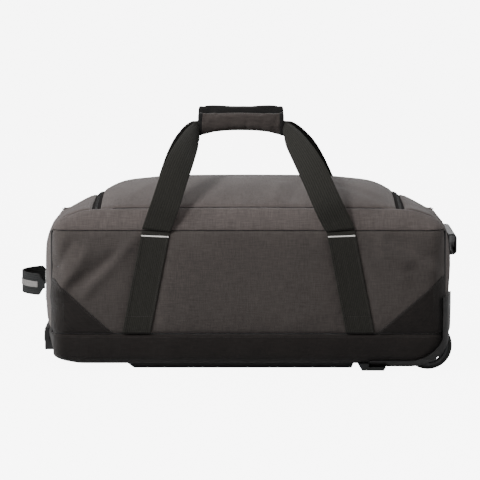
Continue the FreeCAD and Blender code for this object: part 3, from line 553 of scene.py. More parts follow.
def webbed(name, light, dark, rib=0.0015, roughness=0.7, sheen=0.1):
    """Woven strap: ribs across its length, a chevron of threads, and tight edges."""
    material, tree, shader = blank(name, roughness, sheen=sheen, gloss=0.12)
    place = shades(tree, "ShaderNodeTexCoord").outputs["UV"]
    u, v, _ = shades(tree, "ShaderNodeSeparateXYZ", Vector=place).outputs
    cords = math_node(tree, "PINGPONG", times(tree, v, 1 / 0.006), 1.0)
    ridge = ramp(tree, wave(tree, plus(tree, times(tree, u, 1 / rib), cords), 1.0), -1, 1)
    groove = ramp(tree, wave(tree, v, 0.003), -1.0, 0.2)
    fleck = ramp(tree, noise(tree, stretched(tree, place, 0.3, 1.0, 1.0), 900.0, 2.0), 0.3, 0.72)
    share = plus(tree, times(tree, plus(tree, ridge, groove), 0.35), times(tree, fleck, 0.4))
    tree.links.new(mixed(tree, share, colour(*dark), colour(*light)), shader.inputs["Base Color"])
    bumped(tree, shader, times(tree, ridge, plus(tree, groove, 0.4)), 0.0003)
    return material


def moulded(name, light, dark, roughness=0.45, grain=0.0009, relief=0.00006, coat=0.0):
    """Moulded plastic or rubber: fine leathery grain, faint scuffs, uneven polish."""
    material, tree, shader = blank(name, roughness)
    place = shades(tree, "ShaderNodeTexCoord").outputs["Object"]
    pebble = shades(tree, "ShaderNodeTexVoronoi", Vector=place, Scale=1 / grain).outputs["Distance"]
    scuff = ramp(tree, noise(tree, stretched(tree, place, 1.0, 4.0, 1.0), 70.0, 5.0), 0.45, 0.75)
    tree.links.new(mixed(tree, scuff, colour(*dark), colour(*light)), shader.inputs["Base Color"])
    polish = shades(tree, "ShaderNodeMapRange", Value=noise(tree, place, 40.0, 4.0), To_Min=roughness - 0.08,
                    To_Max=roughness + 0.12).outputs[0]
    tree.links.new(polish, shader.inputs["Roughness"])
    if coat:
        shader.inputs["Coat Weight"].default_value = coat
    bumped(tree, shader, pebble, relief)
    return material


def metal(name, light, dark, roughness=0.3, brushed=(1.0, 40.0, 40.0)):
    """Brushed or drawn metal, the marks running along X unless told otherwise."""
    material, tree, shader = blank(name, roughness, metallic=1.0)
    place = shades(tree, "ShaderNodeTexCoord").outputs["Object"]
    marks = noise(tree, stretched(tree, place, *brushed), 60.0, 4.0)
    tree.links.new(mixed(tree, marks, colour(*dark), colour(*light)), shader.inputs["Base Color"])
    polish = shades(tree, "ShaderNodeMapRange", Value=marks, To_Min=roughness - 0.08, To_Max=roughness + 0.15)
    tree.links.new(polish.outputs[0], shader.inputs["Roughness"])
    bumped(tree, shader, marks, 0.00002)
    return material


shell_cloth = woven("shell_cloth", (99, 91, 88), (52, 47, 46), heather=0.45)
panel_cloth = woven("panel_cloth", (76, 70, 67), (42, 38, 37), heather=0.45)
band_cloth = woven("band_cloth", (37, 32, 30), (13, 11, 10), thread=0.0011, heather=0.5, relief=0.0003)
lining_cloth = woven("lining_cloth", (96, 98, 102), (62, 64, 68), thread=0.0006, heather=0.25, roughness=0.6)
grip_cloth = woven("grip_cloth", (70, 63, 60), (34, 30, 29), on="Object", heather=0.5)
grip_black = woven("grip_black", (26, 25, 24), (9, 9, 9), on="Object", heather=0.4, roughness=0.8)
tape_cloth = woven("tape_cloth", (30, 27, 26), (9, 8, 8), thread=0.0007, rib=0.0016, sheen=0.0)
strap_web = webbed("strap_web", (45, 44, 40), (13, 13, 11), sheen=0.03)
loop_web = webbed("loop_web", (46, 47, 47), (14, 15, 15), sheen=0.03)
reflector = woven("reflector", (150, 147, 145), (92, 90, 89), thread=0.0006, roughness=0.35, sheen=0.0)
piping_cord = moulded("piping_cord", (34, 32, 31), (17, 16, 16), roughness=0.55, grain=0.0006)
thread_grey = moulded("thread_grey", (138, 130, 126), (104, 98, 95), roughness=0.7, grain=0.0004)
thread_dark = moulded("thread_dark", (60, 55, 53), (34, 31, 30), roughness=0.7, grain=0.0004)
thread_white = moulded("thread_white", (240, 238, 234), (214, 211, 207), roughness=0.7, grain=0.0004)
zip_teeth_plastic = moulded("zip_teeth_plastic", (24, 23, 23), (9, 9, 9), roughness=0.4)
black_plastic = moulded("black_plastic", (32, 32, 33), (18, 18, 19), roughness=0.42)
guard_plastic = moulded("guard_plastic", (46, 43, 43), (24, 23, 23), roughness=0.3, grain=0.0014)
skid_plastic = moulded("skid_plastic", (26, 28, 29), (12, 13, 14), grain=0.0016, relief=0.0001)
foot_plastic = moulded("foot_plastic", (56, 56, 57), (30, 30, 31), roughness=0.35, coat=0.2)
anchor_rubber = moulded("anchor_rubber", (182, 182, 180), (146, 146, 144), roughness=0.55)
tyre_rubber = moulded("tyre_rubber", (30, 30, 30), (16, 16, 16), roughness=0.7, grain=0.0012, relief=0.0001)
hub_plastic = moulded("hub_plastic", (70, 70, 72), (44, 44, 46), roughness=0.4)
button_plastic = moulded("button_plastic", (96, 96, 98), (70, 70, 72), roughness=0.35)
board_plastic = moulded("board_plastic", (60, 60, 62), (40, 40, 42), roughness=0.6, grain=0.002)
tube_metal = metal("tube_metal", (196, 198, 200), (150, 152, 155))
ALONG_AXLE = (20.0, 1.0, 20.0)
bearing_steel = metal("bearing_steel", (205, 205, 206), (150, 150, 152), roughness=0.22, brushed=ALONG_AXLE)
axle_steel = metal("axle_steel", (170, 170, 172), (120, 120, 122), roughness=0.35, brushed=ALONG_AXLE)
zip_metal = metal("zip_metal", (92, 90, 88), (52, 50, 49), roughness=0.3)

SOLID_FINISHES = {
    guard_plastic: ("wheel_housing_near", "wheel_housing_far"),
    skid_plastic: ("skid_cover", "foot_pads"),
    foot_plastic: ("stand_foot",),
    black_plastic: ("trolley_bezel", "trolley_end_bracket", "tube_saddles", "middle_tube_collars",
                    "grip_base", "grip_cover", "button_yoke"),
    anchor_rubber: ("end_handle_anchors",),
    button_plastic: ("grip_button",),
    board_plastic: ("base_board",),
    tyre_rubber: ("wheel_tyre_near", "wheel_tyre_far"),
    hub_plastic: ("wheel_hub_near", "wheel_hub_far"),
    bearing_steel: ("wheel_bearings_near", "wheel_bearings_far", "button_springs"),
    axle_steel: ("axles", "skid_screws", "lock_pin_near", "lock_pin_far"),
    tube_metal: ("trolley_outer_tubes", "trolley_middle_tubes", "trolley_inner_tubes"),
    zip_metal: ("zip_slider_left", "zip_slider_right", "zip_pull_left", "zip_pull_right"),
}


def finish_solids():
    """Every hard part keeps its shape and takes its own finish."""
    for finish, nodes in SOLID_FINISHES.items():
        for node in nodes:
            data = frame["nodes"][node].data
            data.materials.clear()
            data.materials.append(finish)


# ---------------------------------------------------------------- shell panels
STRAP_FOOT = 0.1845         # strap centres at the band
STRAP_TOP = 0.151           # and at the bar tacks
STRAIGHT = CORNER_LINE - CORNER_R
WHEEL_X = (WHEEL_LOW.x + WHEEL_HIGH.x) / 2
WHEEL_Z = (WHEEL_LOW.z + WHEEL_HIGH.z) / 2
WELL_R = WHEEL_Z + 0.0075
WELL_Y = (-WHEEL_HIGH.y - 0.005, -WHEEL_LOW.y + 0.005)
FACE_COLUMNS = np.concatenate((np.linspace(-2, -1, 9)[:-1], np.linspace(-1, 1, 125),
                               np.linspace(1, 2, 9)[1:]))
HEM = 0.0105                # stitched hem beside the zip, and its outer row of stitches
HEM_EDGE = 0.0045


def strap_line(z):
    """Distance of a strap's centre from the middle at height z."""
    return STRAP_FOOT + (STRAP_TOP - STRAP_FOOT) * (z - BAND_TOP) / (PANEL_TOP - BAND_TOP)


def crease(panel, start, end, width, height, axes=(0, 2)):
    """Soft ridge, or valley if height is negative, along a line seen square on."""
    a, b = np.array(start), np.array(end)
    middle = MID_X if axes[0] == 0 else 0
    place = np.stack([panel.points[..., axes[0]] - middle, panel.points[..., axes[1]]], axis=2)
    way = b - a
    t = ((place - a) @ way) / (way @ way)
    away = np.linalg.norm(place - a - np.clip(t, 0, 1)[..., None] * way, axis=2)
    ends = np.clip(np.minimum(t, 1 - t) * 4 + 0.6, 0, 1)
    panel.push(height * np.exp(-(away / width) ** 2) * ends)


def in_well(points):
    away = np.hypot(points[:, 0] - WHEEL_X, points[:, 2] - WHEEL_Z)
    y = np.abs(points[:, 1])
    return (away < WELL_R) & (y > WELL_Y[0]) & (y < WELL_Y[1])


def in_bezel(points):
    rim = 0.0012
    x, y, z = points.T
    between = (z > BEZEL_LOW.z + rim) & (z < BEZEL_HIGH.z - rim)
    return (np.abs(y) < BEZEL_HIGH.y - 3 * rim) & between & (x < 0)


def face_panel(name, face, folds):
    panel = Panel(FACE_COLUMNS, edge_rows(BAND_TOP, PANEL_TOP), lambda s, t: around_front(s, t, face),
                  face > 0)
    panel.puff(0.0022, "tb", 0.02)
    x = np.abs(panel.points[..., 0] - MID_X)
    under_strap = np.abs(x - strap_line(panel.points[..., 2])) < WEB_WIDTH / 2 - 0.002
    panel.relax((0, face, 0), under_strap, load=8.0, growth=0.005, limit=0.0055)
    for start, end, width, height in folds:
        crease(panel, start, end, width, height)
    panel.tuck("tb", 0.003, 0.0026)
    panel.make(name, panel_cloth, "bag", [name], "panel_fabric", fill=0.2)
    return panel


# creases of the front (-1) and the back (1): start, end, width, height
FOLDS = {-1: (
    ((-0.318, 0.118), (-0.262, 0.205), 0.011, 0.0050), ((-0.300, 0.135), (-0.215, 0.196), 0.010, -0.0045),
    ((-0.270, 0.128), (-0.185, 0.222), 0.009, 0.0036), ((-0.316, 0.170), (-0.290, 0.215), 0.008, -0.0042),
    ((0.212, 0.214), (0.262, 0.178), 0.010, 0.0048), ((0.232, 0.226), (0.300, 0.186), 0.009, -0.0040),
    ((0.215, 0.196), (0.262, 0.150), 0.012, 0.0030), ((0.268, 0.205), (0.312, 0.160), 0.010, 0.0040),
    ((-0.070, 0.226), (-0.030, 0.204), 0.010, -0.0009), ((0.060, 0.078), (0.108, 0.096), 0.014, 0.0010),
), 1: (
    ((-0.310, 0.205), (-0.255, 0.140), 0.011, 0.0022), ((-0.285, 0.215), (-0.215, 0.160), 0.010, -0.0020),
    ((0.215, 0.150), (0.280, 0.215), 0.011, 0.0022), ((0.250, 0.120), (0.310, 0.180), 0.010, -0.0018),
    ((-0.060, 0.100), (0.050, 0.120), 0.016, 0.0012),
)}


def upper_panel(name, face):
    panel = Panel(FACE_COLUMNS, np.concatenate(([0, 0.03], np.linspace(0.1, 0.9, 9), [0.97, 1])),
                  lambda s, t: over_shoulder(s, t, face), face > 0)
    window = np.sin(np.pi * np.clip(panel.t, 0, 1)) ** 0.6 * np.clip((2 - np.abs(panel.s)) / 0.8, 0, 1)
    panel.push(0.0034 * window)
    panel.relax((0, face * 0.7, 0.7), load=5.0, growth=0.004, limit=0.003)
    panel.tuck("b", 0.0012, 0.002)
    panel.tuck("t", 0.0020, 0.0022)
    panel.make(name, shell_cloth, "bag", [name], "shell_fabric", fill=0.2)
    return panel


def end_panel(name, side):
    panel = Panel(np.linspace(-1, 1, 61), edge_rows(BAND_TOP, END_TOP), lambda s, t: across_end(s, t, side),
                  side < 0)
    panel.puff(0.0015, "lrtb", 0.02)
    panel.relax((side, 0, 0), load=6.0, growth=0.004, limit=0.004)
    crease(panel, (-0.120, 0.215), (-0.060, 0.180), 0.010, -0.0020, (1, 2))
    crease(panel, (0.040, 0.190), (0.118, 0.222), 0.010, -0.0018, (1, 2))
    crease(panel, (-0.135, 0.150), (-0.095, 0.205), 0.009, 0.0020, (1, 2))
    panel.tuck("lrtb", 0.0022, 0.0024)
    panel.make(name, shell_cloth, "bag", [name], "shell_fabric", cut=in_well, fill=0.2)
    return panel


def band(name, place, columns, flip, cut=None):
    rows = np.concatenate((np.linspace(FLOOR_GAP, BAND_TOP - 0.004, 15), [BAND_TOP - 0.0014, BAND_TOP]))
    panel = Panel(columns, rows, place, flip)
    if "front" in name or "back" in name:
        ripple = np.sin(panel.points[..., 0] * 71) * np.sin(panel.points[..., 0] * 23 + 1.3)
        panel.push(0.0007 * ripple * np.clip(panel.from_edge("tb") / 0.015, 0, 1))
    panel.push(0.0008 + 0 * panel.s)
    panel.tuck("t", 0.0030, 0.0022)
    panel.make(name, band_cloth, "bag", [name], "band_fabric", cut=cut, fill=0.1)
    return panel


def under(s, t):
    """Flat underside: s and t run -1..1 across the body's outline at the floor."""
    depth = DEPTH(FLOOR_GAP)
    y = t * depth
    round_in = CORNER_R - np.sqrt(CORNER_R ** 2 - np.maximum(np.abs(y) - (depth - CORNER_R), 0) ** 2)
    side = np.where(s < 0, -1, 1)
    x = s * (corner_line(FLOOR_GAP, side) - round_in)
    return x, y, FLOOR_GAP + 0 * x


def top_border(name, side):
    border = Panel(np.concatenate(([0, 0.02], np.linspace(0.08, 0.92, 13), [0.98, 1])),
                   edge_rows(-SEAM_Y, SEAM_Y), lambda s, t: over_border(s, t, side), side < 0)
    border.puff(0.0018, "lrtb", 0.015)
    border.relax((side * 0.4, 0, 0.9), load=5.0, growth=0.006, limit=0.0035)
    crease(border, (-0.10, 0.272), (-0.03, 0.248), 0.008, 0.0012, (1, 2))
    border.tuck("lrtb", 0.0020, 0.0022)
    border.make(name, shell_cloth, "bag", [name], "shell_fabric", fill=0.2)
    return border


def shell():
    made = {name: face_panel(name + "_panel", face, FOLDS[face]) for name, face in FACES}
    made.update({"upper_" + name: upper_panel("upper_panel_" + name, face) for name, face in FACES})
    made.update({name: end_panel("end_panel_" + name, side) for name, side in SIDES})
    for name, face in FACES:
        made["band_" + name] = band("band_" + name, lambda s, t: around_front(s, t, face), FACE_COLUMNS,
                                    face > 0, in_well)
    fine = np.linspace(-1, 1, 101)
    for name, side in SIDES:
        made["band_" + name] = band("band_" + name, lambda s, t: across_end(s, t, side), fine, side < 0,
                                    in_bezel if side < 0 else in_well)
    bottom = Panel(np.linspace(-1, 1, 161), np.linspace(-1, 1, 81), under, True)
    bottom.make("bottom_panel", band_cloth, "bag", ["bottom_panel"], "band_fabric", cut=in_well, smooth=0)
    made.update({"border_" + name: top_border("top_border_" + name, side) for name, side in SIDES})
    return made


LID_CREASES = (
    ((0.040, -0.135), (0.058, -0.060), 0.012, 0.0022), ((0.072, -0.130), (0.090, -0.050), 0.010, -0.0018),
    ((-0.200, -0.120), (-0.150, -0.040), 0.012, 0.0016), ((0.150, -0.060), (0.215, -0.120), 0.011, -0.0016),
)


def lid():
    """Lid panel with its hem along the zip, and its lining."""
    panel = Panel(edge_rows(-LID_HALF, LID_HALF), edge_rows(-SEAM_Y + 0.0004, LID_FAR),
                  lambda x, y: (x, y, roof(x, y)))
    inside = np.clip((panel.from_edge("lrt") - HEM) / 0.02, 0, 1)
    panel.push(0.0016 * inside)
    panel.relax((0, 0, 1), load=6.0, growth=0.005, limit=0.0045)
    hem = panel.from_edge("lrt")
    inner_row = 0.0006 * np.exp(-((hem - HEM) / 0.0016) ** 2)
    outer_row = 0.0003 * np.exp(-((hem - HEM_EDGE) / 0.0012) ** 2)
    panel.push(-inner_row - outer_row)
    for start, end, width, height in LID_CREASES:
        crease(panel, start, end, width, height, (0, 1))
    panel.tuck("b", 0.0024, 0.0024)
    panel.tuck("lrt", 0.0010, 0.0014)
    panel.make("lid_panel", shell_cloth, "lid", ["lid_panel"], "shell_fabric", fill=0.25)
    inner = Panel(panel.columns, panel.rows, lambda x, y: (x, y, roof(x, y)))
    inner.push(-0.0042 + 0 * inner.s)
    inner.make("lid_lining", lining_cloth, "lid", ["lid_lining"], "lining_fabric", thick=LINING, smooth=0)
    return panel


# ---------------------------------------------------------------- lining
def lining():
    """One thin lining: floor over the base board, walls, and the underside of the upper panels."""
    floor_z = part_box("base_board")[1].z + 0.0012
    inset = SHELL + 0.0016
    edge = 0.0015

    def loop(z):
        front = around_front(np.linspace(-2, 2, 121), z, -1)
        right = across_end(np.linspace(-1, 1, 31)[1:-1], z, 1)
        back = around_front(np.linspace(2, -2, 121), z, 1)
        left = across_end(np.linspace(1, -1, 31)[1:-1], z, -1)
        runs = (front, right, back, left)
        line = np.concatenate([np.stack([c + 0 * run[0] for c in run], axis=1) for run in runs])
        ahead = np.roll(line, -1, axis=0) - np.roll(line, 1, axis=0)
        outward = np.stack([ahead[:, 1], -ahead[:, 0], 0 * ahead[:, 0]], axis=1)
        outward /= np.maximum(np.linalg.norm(outward, axis=1, keepdims=True), 1e-9)
        return line - outward * inset

    base = loop(floor_z)
    rings = [base * (k, k, 1) for k in (0.02, 0.3, 0.6, 0.85, 0.97)]
    rings += [loop(z) for z in np.linspace(floor_z, PANEL_TOP - 0.004, 14)]
    top = rings[-1]
    rim_x = ZIP_HALF + edge
    rim = np.clip(top, (-rim_x, -SEAM_Y - edge, 0), (rim_x, SEAM_Y + edge, 1))
    rim[:, 2] = roof(rim[:, 0], np.clip(rim[:, 1], -SEAM_Y, SEAM_Y)) - 0.0058
    rings += [top + (rim - top) * q for q in (0.25, 0.5, 0.75, 1.0)]
    count = len(top)
    points = np.concatenate(rings)
    points[:, 0] += MID_X
    faces = [f[::-1] for f in grid_faces(len(rings), count, around=True)]
    faces.append(tuple(range(count)))
    mesh = plain_mesh("lining", points, faces)
    around = np.tile(np.cumsum(np.linalg.norm(np.roll(top, -1, axis=0) - top, axis=1)), len(rings))
    lay_uv(mesh, np.stack([around, points[:, 2] + np.abs(points[:, 1]) * 0.2], axis=1))
    mesh.materials.append(lining_cloth)
    obj = link("lining", mesh)
    wall = obj.modifiers.new("wall", "SOLIDIFY")
    wall.thickness = LINING
    wall.offset = -1
    return settled_piece(obj, "bag", ["lining"])


# ---------------------------------------------------------------- zip
ZIP_MIDDLE = (LID_HALF + ZIP_HALF) / 2
ZIP_FAR = (LID_FAR + SEAM_Y) / 2


def zip_line(offset, sink, count=70):
    """Three-sided line round the lid, moved outwards by offset and down by sink."""
    half = ZIP_MIDDLE + offset
    far = ZIP_FAR + offset
    near = -SEAM_Y + 0.001
    up = np.linspace(near, far, count)
    over = np.linspace(half, -half, 2 * count)
    x = np.concatenate((np.full(count, half), over[1:-1], np.full(count, -half)))
    y = np.concatenate((up, np.full(2 * count - 2, far), up[::-1]))
    return np.stack([x + MID_X, y, roof(x, np.clip(y, -SEAM_Y, SEAM_Y)) - sink], axis=1)


def laid(points, flip=False):
    """Panel made straight from a grid of points."""
    panel = Panel.__new__(Panel)
    rows, columns, _ = points.shape
    panel.columns, panel.rows = np.arange(columns, dtype=float), np.arange(rows, dtype=float)
    panel.s, panel.t = np.meshgrid(panel.columns, panel.rows)
    panel.points, panel.flip = points, flip
    return panel


def zip_tapes():
    for name, side, body in (("zip_tape_fixed", 1, "bag"), ("zip_tape_lid", -1, "lid")):
        lines = []
        for width in (0.0004, 0.0022, 0.0042, 0.0062, 0.0075, 0.0090):
            dip = 0.0014 + 0.0024 * np.clip((width - 0.0050) / 0.0022, 0, 1)
            lines.append(zip_line(side * width, dip))
        tape = laid(np.stack(lines), side > 0)
        tape.make(name, tape_cloth, body, [name], "zip_tape", thick=0.0006, smooth=0)


# ---------------------------------------------------------------- webbing
def smooth_path(points, step=0.004):
    """Evenly spaced points on a smooth line through the given ones."""
    p = np.array(points, float)
    q = np.vstack([2 * p[0] - p[1], p, 2 * p[-1] - p[-2]])
    found = []
    for i in range(1, len(q) - 2):
        count = max(int(np.linalg.norm(q[i + 1][:3] - q[i][:3]) / step), 2)
        t = np.linspace(0, 1, count, endpoint=False)[:, None]
        a, b, c, d = q[i - 1], q[i], q[i + 1], q[i + 2]
        bend, twist = 2 * a - 5 * b + 4 * c - d, 3 * b - a - 3 * c + d
        found.append(0.5 * (2 * b + (c - a) * t + bend * t ** 2 + twist * t ** 3))
    return np.vstack(found + [p[-1:]])


ACROSS = np.array([-1, -0.93, -0.75, -0.5, -0.25, 0, 0.25, 0.5, 0.75, 0.93, 1])


def ribbon(centre, across, width, bow=0.0):
    """Grid of a strap's face: its rows run across the strap, its columns along it."""
    across = across / np.linalg.norm(across, axis=1, keepdims=True)
    ahead = np.gradient(centre, axis=0)
    ahead /= np.linalg.norm(ahead, axis=1, keepdims=True)
    face = np.cross(ahead, across)
    face /= np.linalg.norm(face, axis=1, keepdims=True)
    width = np.broadcast_to(width, (len(centre),))
    bow = np.broadcast_to(bow, (len(centre),))
    half = across * (width / 2)[:, None]
    rise = face * bow[:, None]
    return np.stack([centre + w * half + (1 - w * w) * rise for w in ACROSS])


def on_face(panel, face, x, z, lift):
    """Points on a face panel where webbing lies on it, raised by lift."""
    points, normal = panel.at(x / STRAIGHT, z)
    points[:, 1] = face * (np.maximum(face * points[:, 1], DEPTH_HALF - 0.0008) + lift)
    return points, normal


def strap_tails(made):
    """Sewn lower ends of the handles, lying on the front and back panels."""
    for where, face in FACES:
        for hand, side in SIDES:
            z = np.linspace(BAND_TOP + 0.0006, PANEL_TOP, 44)
            lines = []
            for w in ACROSS:
                x = side * strap_line(z) + w * WEB_WIDTH / 2
                lift = WEB_THICK + 0.0003 - 0.0004 * (abs(w) > 0.95)
                points, _ = on_face(made[where], face, x, z, lift)
                lines.append(points)
            tail = laid(np.stack(lines), face < 0)
            nodes = ["strap_tails_" + where] if side < 0 else []
            tail.make("strap_tails_%s_%s" % (where, hand), strap_web, "bag", nodes, "webbing",
                      thick=WEB_THICK, smooth=0)


def strap_leg(side, grip_end):
    """Stations of one free strap: place, width direction, width, and how far the folded width bows."""
    reach = STRAP_TOP - side * grip_end
    tilt = 5.9 * reach
    stations = (        # share of the way to the grip, then as above
        (0.000, -STRAP_Y, PANEL_TOP, 1, 0, -0.10, WEB_WIDTH, 0),
        (0.090, -STRAP_Y - 0.0005, PANEL_TOP + 0.016, 1, 0, -0.6 * tilt, WEB_WIDTH, 0),
        (0.250, -STRAP_Y - 0.0002, PANEL_TOP + 0.046, 1, 0, -0.95 * tilt, WEB_WIDTH, 0),
        (0.430, -0.1510, PANEL_TOP + 0.082, 1, 0, -1.0 * tilt, 0.046, 0.001),
        (0.610, -0.1230, GRIP_LOW.z - 0.029, 1, 0.05, -1.1 * tilt, 0.043, 0.002),
        (0.790, -0.0800, GRIP_LOW.z - 0.005, 0.90, 0.05, -0.62, 0.035, 0.005),
        (0.910, -0.0430, GRIP_LOW.z + 0.008, 0.52, 0, -0.85, 0.027, 0.006),
        (0.985, -0.0130, GRIP_LOW.z + 0.0125, 0.12, 0, -1.0, 0.023, 0.004),
    )
    return [(side * (STRAP_TOP - share * reach), y, z, -side * a, b, c, wide, bow)
            for share, y, z, a, b, c, wide, bow in stations]


def carry_straps():
    """Free straps from the bar tacks up to the grip, and through it."""
    left, right = GRIP_LOW.x - MID_X, GRIP_HIGH.x - MID_X
    inside = [(left + share * (right - left), -0.0085, GRIP_LOW.z + 0.0165 + rise, 0, 0, -1, 0.023, 0.002)
              for share, rise in ((0.12, 0.001), (0.35, 0.005), (0.65, 0.005), (0.88, 0.001))]
    path = smooth_path(strap_leg(-1, left) + inside + strap_leg(1, right)[::-1])
    centre, across, width, bow = path[:, :3], path[:, 3:6], path[:, 6], path[:, 7]
    for where, face in FACES:
        turned = (1, -face, 1)
        strap = laid(ribbon(centre * turned + (MID_X, 0, 0), across * turned, width, face * bow), face < 0)
        body = where + "_handle"
        obj = applied(strap.make("handle_strap_" + where, strap_web, body, [], "webbing", thick=WEB_THICK,
                                 smooth=0, offset=0))
        obj.parent = None
        del obj["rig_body"]
        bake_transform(obj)
        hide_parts("handle_strap_" + where)


def round_column(x):
    """Column of a face panel for a distance x from the middle, round the corner included."""
    turn = np.arcsin(np.clip((x - STRAIGHT) / CORNER_R, 0, 1)) * 2 / math.pi
    return np.where(x < STRAIGHT, x / STRAIGHT, 1 + turn)


# corner patches at the left (-1) and the right (1): along the band, and up from it
PATCH_BASE = {-1: 0.101, 1: 0.112}
PATCH_RISE = {-1: 0.094, 1: 0.098}


def patch_edge(side, z):
    """Distance from the middle of a corner patch's slanting edge at height z."""
    share = np.clip((z - BAND_TOP) / PATCH_RISE[side], 0, 1)
    return CORNER_LINE - PATCH_BASE[side] * (1 - share) - 0.0004


def corner_patches(made):
    share = np.concatenate(([0, 0.015], np.linspace(0.05, 1, 26)))[None, :]
    for where, face in FACES:
        for hand, side in SIDES:
            z = edge_rows(BAND_TOP + 0.0005, BAND_TOP + PATCH_RISE[side] - 0.003, 0.004)
            inner = round_column(patch_edge(side, z))[:, None]
            s = inner + (2 - inner) * share
            if side < 0:
                s = -s[:, ::-1]
            edge = np.abs(np.abs(s) - inner) < 1e-6
            points, normal = made[where].at(s, np.broadcast_to(z[:, None], s.shape))
            patch = laid(points + normal * (0.0013 - 0.0005 * edge)[..., None], face > 0)
            nodes = ["corner_patches"] if (where, hand) == ("front", "left") else []
            patch.make("corner_patch_%s_%s" % (where, hand), band_cloth, "bag", nodes, "band_fabric",
                       thick=0.0010, smooth=0)


def upright_cord(name, path, radius, finish, sides=10):
    """Round cord along a nearly upright path, its ends closed."""
    ahead = np.gradient(path, axis=0)
    ahead /= np.linalg.norm(ahead, axis=1, keepdims=True)
    a = np.cross(ahead, (0.31, 0.52, 0.0))
    a /= np.linalg.norm(a, axis=1, keepdims=True)
    b = np.cross(ahead, a)
    angles = np.linspace(0, 2 * math.pi, sides, endpoint=False)
    turn = angles[None, :, None]
    rings = path[:, None] + radius * (np.cos(turn) * a[:, None] + np.sin(turn) * b[:, None])
    faces = [f[::-1] for f in grid_faces(len(path), sides, around=True)]
    faces.append(tuple(range(sides)))
    faces.append(tuple(range((len(path) - 1) * sides, len(path) * sides))[::-1])
    mesh = plain_mesh(name, rings.reshape(-1, 3), faces)
    mesh.materials.append(finish)
    outwards(mesh)
    return link(name, mesh)


def edge_piping():
    """Piping up the four upright edges."""
    radius = 0.0019
    for hand, side in SIDES:
        z = np.linspace(BAND_TOP + 0.001 if side < 0 else GUARD_TOP - 0.002, END_TOP - 0.003, 60)
        x = side * (corner_line(z, side) + radius * 0.7) + MID_X
        for where, face in FACES:
            y = face * (DEPTH(z) - CORNER_R + radius * 0.2)
            cord = upright_cord("edge_piping_%s_%s" % (hand, where), np.stack([x, y, z], axis=1), radius,
                                piping_cord)
            nodes = ["edge_piping"] if (hand, where) == ("left", "front") else []
            settled_piece(cord, "bag", nodes)


def end_handle():
    """Webbing loop on the left end, with a reflective stripe along its middle."""
    half = LOOP_HIGH.y - 0.0015
    root = LOOP_HIGH.x
    reach = root - LOOP_LOW.x - 0.0015
    radius = (half ** 2 + reach ** 2) / (2 * reach)
    turn = math.asin(half / radius)
    angle = np.linspace(-turn, turn, 64)
    x = root - reach + radius - radius * np.cos(angle)
    y = -radius * np.sin(angle)
    lead = np.linspace(0.0010, 0.0003, 3)
    x = np.concatenate((root + lead, x, root + lead[::-1]))
    y = np.concatenate((np.full(3, half), y, np.full(3, -half)))
    middle_z = (LOOP_LOW.z + LOOP_HIGH.z) / 2
    centre = np.stack([x, y, np.full_like(x, middle_z)], axis=1)
    gone = np.concatenate(([0], np.cumsum(np.linalg.norm(np.diff(centre, axis=0), axis=1))))
    near = np.minimum(gone, gone[-1] - gone)
    share = np.clip((near - 0.002) / 0.011, 0, 1)
    full = LOOP_HIGH.z - LOOP_LOW.z - 0.004
    width = 0.012 + (full - 0.012) * share * share * (3 - 2 * share)
    across = np.tile((0.0, 0.0, 1.0), (len(centre), 1))
    strap = laid(ribbon(centre, across, width), False)
    strap.make("end_handle_loop", loop_web, "end_handle", ["end_handle_loop"], "loop_webbing", thick=0.0028,
               smooth=0, offset=0)
    out = np.stack([np.gradient(centre[:, 1]), -np.gradient(centre[:, 0]), 0 * x], axis=1)
    out /= np.linalg.norm(out, axis=1, keepdims=True)
    if out[len(out) // 2, 0] > 0:
        out = -out
    keep = slice(8, -8)
    stripe = laid(ribbon((centre + out * 0.0019)[keep], across[keep], 0.0100), True)
    stripe.make("end_handle_reflector", reflector, "end_handle", [], "loop_webbing", thick=0.0005, smooth=0,
                offset=0)


# ---------------------------------------------------------------- wrapped grip
def sleeve(name, low, high, y_mid, y_half, x0, x1, finish, power=3.4, stations=46, around=40,
           soft=True):
    """Closed padded sleeve along X; low and high are its edges as functions of x."""
    x = np.linspace(x0, x1, stations)
    cap = np.clip(np.minimum(x - x0, x1 - x) / 0.004, 0.0, 1.0)
    swell = 0.80 + 0.20 * np.sqrt(1 - (1 - cap) ** 2)
    angle = np.linspace(0, 2 * math.pi, around, endpoint=False)
    c, s = np.cos(angle), np.sin(angle)
    cy = np.sign(c) * np.abs(c) ** (2 / power)
    sz = np.sign(s) * np.abs(s) ** (2 / power)
    rings = []
    for xi, k in zip(x, swell):
        mid = (low(xi) + high(xi)) / 2
        half = (high(xi) - low(xi)) / 2
        z = mid + half * (0.5 + 0.5 * k) * sz
        rings.append(np.stack([np.full(around, xi), y_mid + y_half * k * cy, z], axis=1))
    points = np.concatenate(rings)
    points[:, 0] += MID_X
    faces = grid_faces(stations, around, around=True)
    faces.append(tuple(range(around)))
    faces.append(tuple(range((stations - 1) * around, stations * around)))
    mesh = plain_mesh(name, points, faces)
    outwards(mesh)
    mesh.materials.append(finish)
    obj = link(name, mesh)
    if soft:
        inflate(obj, x0 + MID_X, x1 + MID_X)
    finer = obj.modifiers.new("finer", "SUBSURF")
    finer.levels = finer.render_levels = 1
    return obj


def inflate(obj, x0, x1, limit=0.0022, frames=20):
    """Padding swells between the bindings; the ends stay put."""
    points = np.array([v.co for v in obj.data.vertices])
    held = np.flatnonzero(np.minimum(points[:, 0] - x0, x1 - points[:, 0]) < 0.006)
    copy = link("swelling", obj.data.copy())
    found = cloth_run(copy, held, frames, gravity=0, quality=6, use_pressure=True, uniform_pressure_force=3.0,
                      shrink_min=-0.02, bending_stiffness=0.2)
    bpy.data.objects.remove(copy)
    move_points(obj, points + limited(found - points, limit))


